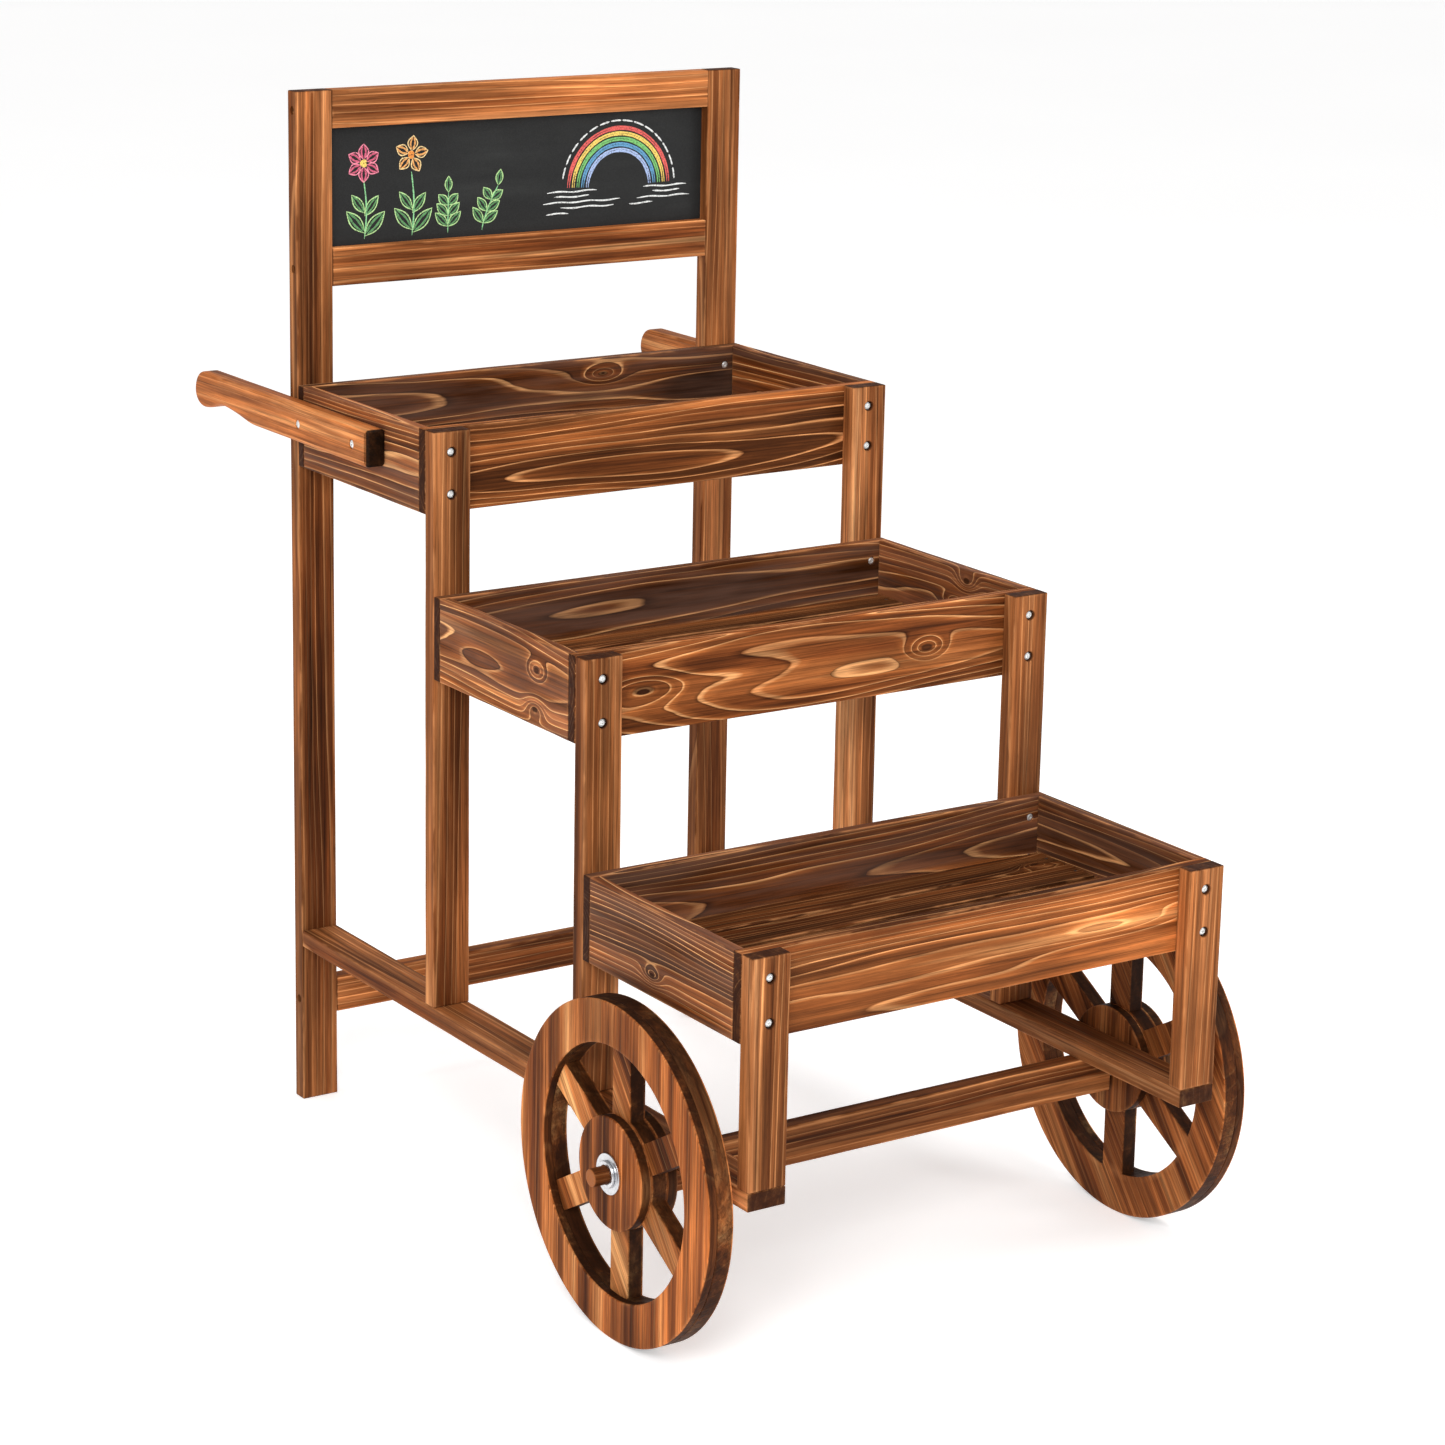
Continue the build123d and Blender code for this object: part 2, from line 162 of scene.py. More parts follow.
def remap(tree, value, low, high, newLow=0.0, newHigh=1.0):
    # value mapped from low..high to newLow..newHigh, and held there
    inputs = {"Value": value, "From Min": low, "From Max": high, "To Min": newLow, "To Max": newHigh}
    return addNode(tree, "ShaderNodeMapRange", inputs, clamp=True).outputs["Result"]


def ramp(tree, factor, stops):
    made = addNode(tree, "ShaderNodeValToRGB", {"Fac": factor})
    band = made.color_ramp
    while len(band.elements) < len(stops):
        band.elements.new(0.5)
    for element, (place, colour) in zip(band.elements, stops):
        element.position = place
        element.color = tuple(colour) + (1.0,)
    return made.outputs["Color"]


def blendColours(tree, factor, first, second, blend="MIX"):
    made = addNode(tree, "ShaderNodeMix", {0: factor}, data_type="RGBA", blend_type=blend,
                   clamp_factor=True, clamp_result=True)
    for socket, value in ((made.inputs[6], first), (made.inputs[7], second)):
        if isinstance(value, bpy.types.NodeSocket):
            tree.links.new(value, socket)
        else:
            socket.default_value = tuple(value) + (1.0,)
    return made.outputs[2]


def noise(tree, vector, scale, detail=2.0, roughness=0.5):
    stretched = addNode(tree, "ShaderNodeVectorMath", {0: vector, 1: scale}, operation="MULTIPLY").outputs[0]
    inputs = {"Vector": stretched, "Scale": 1.0, "Detail": detail, "Roughness": roughness}
    return addNode(tree, "ShaderNodeTexNoise", inputs).outputs[0]


def readAttribute(tree, name, output="Vector"):
    return addNode(tree, "ShaderNodeAttribute", attribute_name=name).outputs[output]


def splitVector(tree, vector):
    return addNode(tree, "ShaderNodeSeparateXYZ", {0: vector}).outputs


def joinVector(tree, x, y, z):
    return addNode(tree, "ShaderNodeCombineXYZ", {"X": x, "Y": y, "Z": z}).outputs[0]


def newFinish(name):
    finish = bpy.data.materials.new(name)
    finish.use_nodes = True
    return finish, finish.node_tree, finish.node_tree.nodes["Principled BSDF"]


def linear(red, green, blue):
    # 0..255 as a screen shows it, to the linear value that a shader takes
    parts = np.array([red, green, blue]) / 255.0
    return tuple(np.where(parts < 0.04045, parts / 12.92, ((parts + 0.055) / 1.055) ** 2.4))


def showBump(tree, shader, height, distance, strength):
    inputs = {"Height": height, "Distance": distance, "Strength": strength}
    tree.links.new(addNode(tree, "ShaderNodeBump", inputs).outputs["Normal"], shader.inputs["Normal"])


# scorched, brushed and oiled softwood
scorchedPine = {
    "ringGap": 5.0 * mm,
    "uneven": 3.0,  # how much the rings' spacing varies, in rings
    "sway": 0.050,  # how far the log bends, in metres
    "quiver": 2.2 * mm,  # and the smaller waves of its rings
    "lines": 0.8,  # strength of the ring pattern against the plain streaks
    "charShare": 0.5,
    "thread": 0.54,  # how dark the thin lines are
    "pores": 0.74,  # and the finest ones
    "film": 0.0,  # grey-brown film that the flame left on boards that are not clean
    "gain": 1.0,
    "cloud": (0.80, 1.12),  # darkest and lightest of the large soft patches
    "dark": linear(40, 15, 4),
    "early": linear(112, 58, 25),
    "warm": linear(166, 95, 47),
    "line": linear(238, 172, 112),
    "char": linear(52, 26, 9),
    "clean": linear(184, 110, 58),
    "bright": linear(226, 154, 94),
    "wornEdge": linear(216, 146, 92),
    "endGrain": linear(48, 23, 10),
    "endCover": 0.84,  # how much of the end grain's colour its palest streaks keep
    # the dark of knots, also laid down screw holes and grooves as painted shade
    "knotAndHoleShade": linear(38, 16, 6),
    "grey": linear(128, 98, 84),
    "rub": 0.5,
    "roughness": 0.56,
    "specular": 0.06,
    "bump": 0.35 * mm,
}
swirlNames = ("swirlA", "swirlB", "swirlC")
knotHeight = 15 * mm  # a swell this high is a knot


def grainNoise(tree, grain, along, across, detail=2.0, roughness=0.5):
    # noise stretched along the board: how many waves a metre holds along it, and across it
    return noise(tree, grain, (along, across, across), detail, roughness)


def bentRings(tree, grain, look):
    # distance from the pith, sqrt(across^2 + through^2), bent by slow and quick noise so that the rings
    # wander as in a sawn log, and raised by height * exp(-distance^2) round each of up to three places
    _, across, through = splitVector(tree, grain)
    square = calc(tree, "MULTIPLY_ADD", across, across, calc(tree, "MULTIPLY", through, through))
    reach = calc(tree, "POWER", square, 0.5)
    slow = grainNoise(tree, grain, 1.7, 10.0, 1.5)
    quick = grainNoise(tree, grain, 5.0, 55.0)
    reach = calc(tree, "MULTIPLY_ADD", calc(tree, "SUBTRACT", slow, 0.5), look["sway"], reach)
    reach = calc(tree, "MULTIPLY_ADD", calc(tree, "SUBTRACT", quick, 0.5), look["quiver"], reach)
    core = 0.0
    for name in swirlNames:
        aside, above, height = splitVector(tree, readAttribute(tree, name))
        away = calc(tree, "MULTIPLY_ADD", aside, aside, calc(tree, "MULTIPLY", above, above))
        swell = calc(tree, "EXPONENT", calc(tree, "MULTIPLY", away, -1.0))
        reach = calc(tree, "MULTIPLY_ADD", swell, height, reach)
        isKnot = calc(tree, "GREATER_THAN", height, knotHeight)
        core = calc(tree, "MAXIMUM", core, times(tree, remap(tree, away, 0.05, 0.12, 1.0, 0.0), isKnot))
    return reach, core


def countedRings(tree, reach, along, seed, look):
    # growth differs from year to year, so the count of rings is not even along the radius
    years = joinVector(tree, reach, along, seed)
    uneven = calc(tree, "SUBTRACT", noise(tree, years, (45.0, 0.4, 1.0)), 0.5)
    turns = calc(tree, "MULTIPLY_ADD", uneven, look["uneven"], calc(tree, "DIVIDE", reach, look["ringGap"]))
    turns = calc(tree, "ADD", turns, seed)
    ringChance = addNode(tree, "ShaderNodeTexWhiteNoise", {"W": calc(tree, "FLOOR", turns)},
                         noise_dimensions="1D").outputs["Value"]
    return turns, calc(tree, "FRACT", turns), ringChance


def scorchedShare(tree, turns, along, seed, ringChance, look):
    # slow bands: some parts of the log took the flame, others stayed clean
    place = joinVector(tree, calc(tree, "MULTIPLY", turns, 0.17), calc(tree, "MULTIPLY", along, 1.3), seed)
    band = remap(tree, noise(tree, place, (1.0, 1.0, 1.0), 1.0), 0.38, 0.64)
    share = calc(tree, "ADD", band, calc(tree, "MULTIPLY_ADD", ringChance, 0.4, -0.2))
    return calc(tree, "MULTIPLY", share, look["charShare"], clamp=True)


def ringColour(tree, share, ringChance, cleanness, grain, scorch, look):
    # each ring darkens from its early wood to a pale late line; plain streaks show where the lines are weak
    rings = ramp(tree, share, [
        (0.0, look["dark"]), (0.10, look["early"]), (0.50, look["early"]), (0.80, look["warm"]),
        (0.90, look["line"]), (0.96, look["line"]), (1.0, look["dark"]),
    ])
    broad = remap(tree, grainNoise(tree, grain, 1.1, 36.0, 4.0, 0.62), 0.30, 0.70)
    plain = ramp(tree, broad, [
        (0.0, look["dark"]), (0.28, look["early"]), (0.55, look["warm"]), (0.78, look["clean"]),
        (1.0, look["bright"]),
    ])
    strength = calc(tree, "MULTIPLY", calc(tree, "SUBTRACT", 1.0, cleanness), look["lines"], clamp=True)
    strength = times(tree, strength, remap(tree, ringChance, 0.0, 0.5, 0.45, 1.0))
    lateLine = times(tree, remap(tree, share, 0.80, 0.90), remap(tree, ringChance, 0.15, 0.6))
    guarded = times(tree, scorch, calc(tree, "MULTIPLY_ADD", lateLine, -0.85, 1.0))
    return blendColours(tree, guarded, blendColours(tree, strength, plain, rings), look["char"])


def woodShade(tree, grain, fibre, streak, brightness, look):
    # fibres and streaks, a soft mottle and clouds, then thin dark lines where a noise passes its middle
    mottle = grainNoise(tree, grain, 11.0, 22.0, 2.0, 0.6)
    cloud = grainNoise(tree, grain, 3.4, 7.0)
    thread = calc(tree, "ABSOLUTE", calc(tree, "SUBTRACT", grainNoise(tree, grain, 1.6, 150.0), 0.5))
    pores = calc(tree, "ABSOLUTE", calc(tree, "SUBTRACT", fibre, 0.5))
    return times(
        tree, remap(tree, fibre, 0.28, 0.72, 0.62, 1.32), remap(tree, streak, 0.30, 0.70, 0.66, 1.28),
        remap(tree, mottle, 0.3, 0.7, 0.86, 1.12), remap(tree, cloud, 0.36, 0.64, *look["cloud"]),
        remap(tree, thread, 0.0, 0.035, look["thread"], 1.0),
        remap(tree, pores, 0.0, 0.03, look["pores"], 1.0), times(tree, brightness, look["gain"]))


def woodMarks(tree, colour, grain, streak, core, cleanness, edge, end, hole, look):
    # the flame's film, knots, end grain, painted shade down screw holes and grooves (over the drilled wood's
    # own darkness) and rubbed edges, in that order
    film = remap(tree, grainNoise(tree, grain, 5.0, 60.0, 3.0, 0.6), 0.35, 0.65)
    film = times(tree, film, look["film"], remap(tree, cleanness, 0.16, 0.28, 1.0, 0.0))
    rubbed = remap(tree, grainNoise(tree, grain, 16.0, 80.0, 3.0, 0.6), 0.46, 0.60)
    rubbed = calc(tree, "MULTIPLY", times(tree, rubbed, edge), look["rub"], clamp=True)
    rubbed = times(tree, rubbed, calc(tree, "SUBTRACT", 1.0, end, clamp=True))
    endShare = times(tree, end, remap(tree, streak, 0.3, 0.7, 1.0, look["endCover"]))
    # the hole's share is painted shade in the recess, on wood that is dark there as well
    for factor, tint in ((film, "grey"), (times(tree, core, 0.8), "knotAndHoleShade"), (endShare, "endGrain"),
                         (times(tree, hole, 0.85), "knotAndHoleShade"), (rubbed, "wornEdge")):
        colour = blendColours(tree, factor, colour, look[tint])
    return colour


def woodFinish(name, **changes):
    look = {**scorchedPine, **changes}
    finish, tree, shader = newFinish(name)
    grain = readAttribute(tree, "grain")
    along = splitVector(tree, grain)[0]
    brightness, cleanness, seed = splitVector(tree, readAttribute(tree, "tone"))
    edge, end, hole = splitVector(tree, readAttribute(tree, "wear"))
    reach, core = bentRings(tree, grain, look)
    turns, share, ringChance = countedRings(tree, reach, along, seed, look)
    scorch = scorchedShare(tree, turns, along, seed, ringChance, look)
    fibre = grainNoise(tree, grain, 10.0, 420.0, 3.0, 0.65)
    streak = grainNoise(tree, grain, 3.0, 110.0, 2.0, 0.6)

    colour = ringColour(tree, share, ringChance, cleanness, grain, scorch, look)
    shade = woodShade(tree, grain, fibre, streak, brightness, look)
    shaded = addNode(tree, "ShaderNodeCombineColor", {0: shade, 1: shade, 2: shade}).outputs[0]
    colour = blendColours(tree, 1.0, colour, shaded, "MULTIPLY")
    colour = woodMarks(tree, colour, grain, streak, core, cleanness, edge, end, hole, look)
    tree.links.new(colour, shader.inputs["Base Color"])

    gloss = remap(tree, fibre, 0.2, 0.8, look["roughness"] - 0.07, look["roughness"] + 0.10)
    gloss = calc(tree, "MULTIPLY_ADD", scorch, 0.10, gloss)
    tree.links.new(gloss, shader.inputs["Roughness"])
    shader.inputs["Specular IOR Level"].default_value = look["specular"]
    height = calc(tree, "MULTIPLY_ADD", remap(tree, share, 0.70, 0.93), 0.8, times(tree, fibre, 0.7))
    height = calc(tree, "MULTIPLY_ADD", times(tree, end, streak), 0.8, height)
    showBump(tree, shader, height, look["bump"], 0.6)
    return finish


finishes = {
    "frame_wood": woodFinish(
        "oiled_pine_frame", ringGap=9 * mm, charShare=0.40, lines=0.35, sway=0.03, cloud=(0.66, 1.10),
        gain=1.22, warm=linear(168, 102, 56), clean=linear(188, 120, 72), bright=linear(228, 166, 112)),
    "box_wood": woodFinish(
        "oiled_pine_boards", ringGap=4.8 * mm, uneven=2.2, charShare=0.85, lines=1.3, film=0.32,
        cloud=(0.76, 1.16), gain=1.2),
    "floor_wood": woodFinish("oiled_pine_slats", charShare=0.7, lines=0.6),
    "wheel_wood": woodFinish(
        "oiled_pine_wheels", ringGap=9 * mm, charShare=0.28, lines=0.14, sway=0.02, rub=0.25,
        cloud=(0.62, 1.16), gain=1.12, endGrain=linear(34, 16, 6), endCover=0.9,
        clean=linear(190, 122, 70), bright=linear(230, 168, 108)),
    "handle_wood": woodFinish(
        "oiled_pine_handles", ringGap=8 * mm, charShare=0.10, lines=0.30, roughness=0.46, sway=0.02,
        cloud=(0.86, 1.16), gain=1.16, endGrain=linear(16, 8, 4), endCover=0.96),
    "axle_wood": woodFinish(
        "oiled_dowel", charShare=0.6, lines=0.2, roughness=0.42, endGrain=linear(150, 90, 50)),
}
print("wood finishes made")


def objectPlace(tree):
    return addNode(tree, "ShaderNodeTexCoord").outputs["Object"]


def metalFinish(name, colour, roughness, scratches, metallic=1.0):
    finish, tree, shader = newFinish(name)
    place = objectPlace(tree)
    scratch = noise(tree, place, (scratches, scratches, scratches * 0.2), 3.0, 0.6)
    stain = noise(tree, place, (300.0, 300.0, 300.0))
    dull = tuple(np.array(colour) * 0.8)
    stained = blendColours(tree, remap(tree, stain, 0.40, 0.75), colour, dull)
    tree.links.new(stained, shader.inputs["Base Color"])
    shader.inputs["Metallic"].default_value = metallic
    gloss = remap(tree, scratch, 0.2, 0.8, roughness - 0.08, roughness + 0.14)
    tree.links.new(gloss, shader.inputs["Roughness"])
    showBump(tree, shader, scratch, 0.03 * mm, 0.35)
    return finish


finishes["zinc_screw"] = metalFinish("bright_zinc", linear(238, 239, 238), 0.34, 900.0, 0.6)
finishes["nail_steel"] = metalFinish("grey_nail_steel", linear(120, 112, 104), 0.45, 900.0)
finishes["bright_steel"] = metalFinish("polished_steel", linear(206, 207, 210), 0.24, 160.0)

slate = {"black": linear(15, 16, 16), "wiped": linear(52, 54, 52), "haze": 0.4, "roughness": (0.72, 0.92)}


def chalkboardFinish(look):
    # matt black, with a haze of chalk dust where it was wiped
    finish, tree, shader = newFinish("matt_black_board")
    place = objectPlace(tree)
    dust = noise(tree, place, (7.0, 7.0, 16.0), 4.0, 0.6)
    swipes = noise(tree, place, (5.0, 30.0, 60.0), 3.0, 0.6)
    grit = noise(tree, place, (1500.0, 1500.0, 1500.0))
    haze = times(tree, remap(tree, dust, 0.42, 0.75), remap(tree, swipes, 0.35, 0.7), look["haze"])
    tree.links.new(blendColours(tree, haze, look["black"], look["wiped"]), shader.inputs["Base Color"])
    tree.links.new(remap(tree, grit, 0.3, 0.7, *look["roughness"]), shader.inputs["Roughness"])
    showBump(tree, shader, grit, 0.05 * mm, 0.5)
    return finish


def chalkFinish():
    # the stroke's own colour, with the board showing through where the chalk skipped
    finish, tree, shader = newFinish("coloured_chalk")
    tint = readAttribute(tree, "tint", "Color")
    grit = noise(tree, objectPlace(tree), (620.0, 620.0, 620.0), 3.0, 0.7)
    gone = remap(tree, grit, 0.50, 0.66, 0.0, 0.80)
    tree.links.new(blendColours(tree, gone, tint, linear(34, 36, 35)), shader.inputs["Base Color"])
    shader.inputs["Roughness"].default_value = 0.95
    showBump(tree, shader, grit, 0.1 * mm, 0.6)
    return finish


def floorFinish(glow):
    finish, tree, shader = newFinish("pale_studio_floor")
    cloud = noise(tree, objectPlace(tree), (0.9, 0.9, 0.9))
    pale = blendColours(tree, cloud, (0.93, 0.925, 0.925), (0.97, 0.968, 0.965))
    tree.links.new(pale, shader.inputs["Base Color"])
    shader.inputs["Roughness"].default_value = 0.5
    shader.inputs["Specular IOR Level"].default_value = 0.1
    shader.inputs["Emission Color"].default_value = (1.0, 0.998, 0.996, 1.0)
    shader.inputs["Emission Strength"].default_value = glow
    return finish


finishes["chalkboard"] = chalkboardFinish(slate)

floorHalf = studio["floorSize"] / 2
floorCorners = [(x * floorHalf, y * floorHalf, 0.0) for x, y in ((-1, -1), (1, -1), (1, 1), (-1, 1))]
floorMesh = bpy.data.meshes.new("studio_floor")
floorMesh.from_pydata(floorCorners, [], [(0, 1, 2, 3)])
floorMesh.materials.append(floorFinish(studio["floorGlow"]))
floor = bpy.data.objects.new("studio_floor", floorMesh)
scene.collection.objects.link(floor)
print("studio ready")


def closedGrid(rows, columns):
    # quads between neighbouring rows of a grid whose columns close on themselves
    row, column = np.meshgrid(np.arange(rows - 1), np.arange(columns), indexing="ij")
    here = row * columns + column
    beside = row * columns + (column + 1) % columns
    return np.stack([here, beside, beside + columns, here + columns], axis=-1).reshape(-1, 4).tolist()


def outward(points, faces):
    # a closed surface has a positive volume when its faces look outwards; otherwise every face is turned
    total = 0.0
    for size in {len(face) for face in faces}:
        corners = points[np.array([face for face in faces if len(face) == size])]
        for step in range(1, size - 1):
            total += np.einsum("ij,ij->", corners[:, 0], np.cross(corners[:, step], corners[:, step + 1]))
    if total < 0:
        faces = [face[::-1] for face in faces]
    return points, faces


def tube(rows):
    # one closed surface from rows of points: quads between rows, and a flat face over each end
    count, columns = rows.shape[:2]
    faces = closedGrid(count, columns)
    faces.append(list(range(columns))[::-1])
    faces.append(list(range((count - 1) * columns, count * columns)))
    return outward(rows.reshape(-1, 3), faces)


def ringTube(rows):
    # a surface closed both ways: the last row joins the first
    count, columns = rows.shape[:2]
    faces = np.array(closedGrid(count + 1, columns)) % (count * columns)
    return outward(rows.reshape(-1, 3), faces.tolist())


cornerGaps = np.array([0.8, 2.6]) * mm  # points this far from each corner's arc
cornerSteps = 4


def fractions(length, near, step):
    # shares of a side: close points beside each corner, then an even spacing
    inner = np.linspace(near[-1], length - near[-1], max(2, int(round(length / step))) + 1)
    places = np.concatenate([near[:-1], inner, length - np.array(near[:-1])[::-1]])
    return places[(places > 0) & (places < length)] / length


def sectionRows(halfA, halfB, radii, sharesA, sharesB):
    # a rounded rectangle for each row: an arc of its own radius at each corner, centred that far in
    # from both sides, and straight sides from arc to arc
    angles = np.linspace(0.0, quarterTurn, cornerSteps + 1)
    arcs = []
    for corner, (signA, signB) in enumerate(((1, 1), (-1, 1), (-1, -1), (1, -1))):
        radius = radii[:, corner, None]
        a = signA * (halfA[:, None] - radius) + radius * np.cos(angles + corner * quarterTurn)
        b = signB * (halfB[:, None] - radius) + radius * np.sin(angles + corner * quarterTurn)
        arcs.append(np.stack([a, b], axis=-1))
    parts = []
    for corner in range(4):
        first, last = arcs[corner][:, -1:], arcs[(corner + 1) % 4][:, :1]
        shares = (sharesA, sharesB)[corner % 2][None, :, None]
        parts += [arcs[corner], first + (last - first) * shares]
    return np.concatenate(parts, axis=1)


def slowWave(rng, places, length, kinds):
    # a sum of three sines along the board with random phases, scaled to 0..1, one column for each kind
    phase = rng.uniform(0.0, fullTurn, (3, kinds))
    turns = np.array([1.3, 2.9, 6.1])[:, None, None] * fullTurn * places[None, :, None] / max(length, 0.15)
    heights = np.sin(turns + phase[:, None, :]) * np.array([0.5, 0.3, 0.2])[:, None, None]
    return heights.sum(axis=0) * 0.5 + 0.5


boardShape = {
    "ease": 1.3 * mm,  # how far the edges are rounded
    "uneven": 0.5,  # share of that rounding that comes and goes along the edge
    "waver": 0.22 * mm,  # how far the faces wave
    "step": 22 * mm,  # spacing of the points along and across
    "sideStep": 11 * mm,
}


def boardSurface(low, high, seed, shape=boardShape):
    # a rounded rectangle carried along the longest axis; near an end it draws in by
    # ease - sqrt(ease^2 - (ease - distance)^2), so the end's edges are rounded as well
    low, high = np.array(low), np.array(high)
    size = high - low
    along = int(np.argmax(size))
    sideA, sideB = [other for other in range(3) if other != along]
    rng = np.random.default_rng(seed)
    ease = min(shape["ease"], 0.2 * size.min())
    length = size[along]
    ends = ease * np.array([0.0, 0.0, 0.12, 0.35, 0.7, 1.0, 2.2])
    middle = np.linspace(ends[-1], length - ends[-1], max(3, int(length / shape["step"])))[1:-1]
    places = np.concatenate([ends, middle, length - ends[::-1]])
    nearest = np.minimum(places, length - places)
    drawn = ease - np.sqrt(np.maximum(ease**2 - np.maximum(ease - nearest, 0.0) ** 2, 0.0))
    radii = ease * (1.0 - shape["uneven"] * slowWave(rng, places, length, 4)) * 1.25
    radii = np.minimum(np.maximum(radii - drawn[:, None], 0.15 * ease), 1.2 * ease)
    fade = np.clip(nearest / (4 * ease), 0.0, 1.0)[:, None]
    waver = shape["waver"] * slowWave(rng, places, length, 2) * fade
    cap = np.zeros(len(places))
    cap[[0, -1]] = 1.6 * ease
    halfA = size[sideA] / 2 - drawn - waver[:, 0] - cap
    halfB = size[sideB] / 2 - drawn - waver[:, 1] - cap
    sharesA, sharesB = (
        fractions(size[side] - 2 * ease, cornerGaps, shape["sideStep"]) for side in (sideA, sideB))
    section = sectionRows(halfA, halfB, radii, sharesA, sharesB)
    rows = np.zeros(section.shape[:2] + (3,))
    rows[..., along] = low[along] + places[:, None]
    rows[..., sideA] = (low[sideA] + high[sideA]) / 2 + section[..., 0]
    rows[..., sideB] = (low[sideB] + high[sideB]) / 2 + section[..., 1]
    return tube(rows)


def roundSurface(centre, axis, places, radii, columns):
    # circles of the given radii at the given places along an axis, closed by a flat face at each end
    angles = np.linspace(0.0, fullTurn, columns, endpoint=False)
    others = [other for other in range(3) if other != axis]
    rows = np.zeros((len(places), columns, 3))
    rows[..., axis] = np.array(places)[:, None]
    rows[..., others[0]] = centre[others[0]] + np.array(radii)[:, None] * np.cos(angles)
    rows[..., others[1]] = centre[others[1]] + np.array(radii)[:, None] * np.sin(angles)
    return tube(rows)


def discSurface(centre, lowX, highX, inner, outer, ease, columns, wander=0.0, seed=1):
    # a rounded rectangle, lowX..highX wide and inner..outer high, carried round the axle;
    # its outer side wanders inwards by wander * slow wave * (1 - cos(angle)) / 2
    angles = np.linspace(0.0, fullTurn, columns, endpoint=False)
    ones = np.ones(columns)
    width, height = highX - lowX, outer - inner
    tight = cornerGaps[:1] * 0.3  # a thin side has room for one close point only
    sharesA = fractions(width - 2 * ease, cornerGaps if width > 8 * mm else tight, 6 * mm)
    sharesB = fractions(height - 2 * ease, cornerGaps if height > 12 * mm else tight, 8 * mm)
    section = sectionRows(ones * width / 2, ones * height / 2, np.full((columns, 4), ease), sharesA, sharesB)
    slow = slowWave(np.random.default_rng(seed), angles / fullTurn, 1.0, 1)[:, 0]
    wave = wander * (slow * (0.5 - 0.5 * np.cos(angles)))
    reach = (inner + outer) / 2 + section[..., 1] - wave[:, None] * (section[..., 1] > 0)
    rows = np.zeros(section.shape[:2] + (3,))
    rows[..., 0] = (lowX + highX) / 2 + section[..., 0]
    rows[..., 1] = centre[1] + reach * np.cos(angles)[:, None]
    rows[..., 2] = centre[2] + reach * np.sin(angles)[:, None]
    return ringTube(rows)


def joinSurfaces(surfaces):
    points, faces, start = [], [], 0
    for somePoints, someFaces in surfaces:
        points.append(somePoints)
        faces += [[corner + start for corner in face] for face in someFaces]
        start += len(somePoints)
    return np.concatenate(points), faces


def pieceOf(name, surface):
    points, faces = surface
    mesh = bpy.data.meshes.new(name)
    mesh.from_pydata(points, [], faces)
    mesh.validate()
    piece = bpy.data.objects.new(name, mesh)
    scene.collection.objects.link(piece)
    return piece


def applyModifiers(piece):
    finished = bpy.data.meshes.new_from_object(piece.evaluated_get(bpy.context.evaluated_depsgraph_get()))
    old = piece.data
    piece.modifiers.clear()
    piece.data = finished
    bpy.data.meshes.remove(old)
    finished.name = piece.name


def cutAway(piece, cutters):
    if not cutters:
        return
    cutter = pieceOf("cutter", joinSurfaces(cutters))
    cut = piece.modifiers.new("cut", "BOOLEAN")
    cut.operation = "DIFFERENCE"
    cut.solver = "EXACT"
    cut.object = cutter
    applyModifiers(piece)
    mesh = cutter.data
    bpy.data.objects.remove(cutter)
    bpy.data.meshes.remove(mesh)


def roundEdges(piece, width):
    bevel = piece.modifiers.new("rounded", "BEVEL")
    bevel.width = width
    bevel.segments = 3
    bevel.limit_method = "ANGLE"
    bevel.angle_limit = math.radians(50.0)
    bevel.use_clamp_overlap = True
    applyModifiers(piece)


def vertexPlaces(mesh):
    flat = np.empty(len(mesh.vertices) * 3)
    mesh.vertices.foreach_get("co", flat)
    return flat.reshape(-1, 3)


def boxOf(node):
    return (np.array(corner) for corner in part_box(node))


def saveAttribute(mesh, name, values, kind="FLOAT_VECTOR"):
    made = mesh.attributes.new(name, kind, "POINT")
    made.data.foreach_set("color" if kind == "FLOAT_COLOR" else "vector", values.astype(np.float32).ravel())


def markWood(mesh, grain, wear, tone, swirls=()):
    # what the wood finish reads at each point
    for name, values in (("grain", grain), ("wear", wear), ("tone", tone), *zip(swirlNames, swirls)):
        saveAttribute(mesh, name, values)


def smoothShade(mesh, angle=32.0):
    mesh.polygons.foreach_set("use_smooth", np.ones(len(mesh.polygons), dtype=bool))
    mesh.set_sharp_from_angle(angle=math.radians(angle))


def dressPiece(piece, slot, node, body="root"):
    smoothShade(piece.data)
    piece.data.materials.clear()
    piece.data.materials.append(finishes[slot])
    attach(piece, body)
    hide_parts(node)


def solidsOf(node):
    # points at the same place are joined, then every edge gives its ends the lower label of the two
    # until nothing changes; the points that share a label are one separate solid
    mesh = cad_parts[node].data
    unique, index = np.unique(np.round(vertexPlaces(mesh), 6), axis=0, return_inverse=True)
    edges = np.empty(len(mesh.edges) * 2, dtype=int)
    mesh.edges.foreach_get("vertices", edges)
    first, second = index.ravel()[edges.reshape(-1, 2)].T
    label = np.arange(len(unique))
    while True:
        low = np.minimum(label[first], label[second])
        new = label.copy()
        np.minimum.at(new, first, low)
        np.minimum.at(new, second, low)
        new = new[new]
        if (new == label).all():
            break
        label = new
    return [unique[label == one] for one in np.unique(label)]


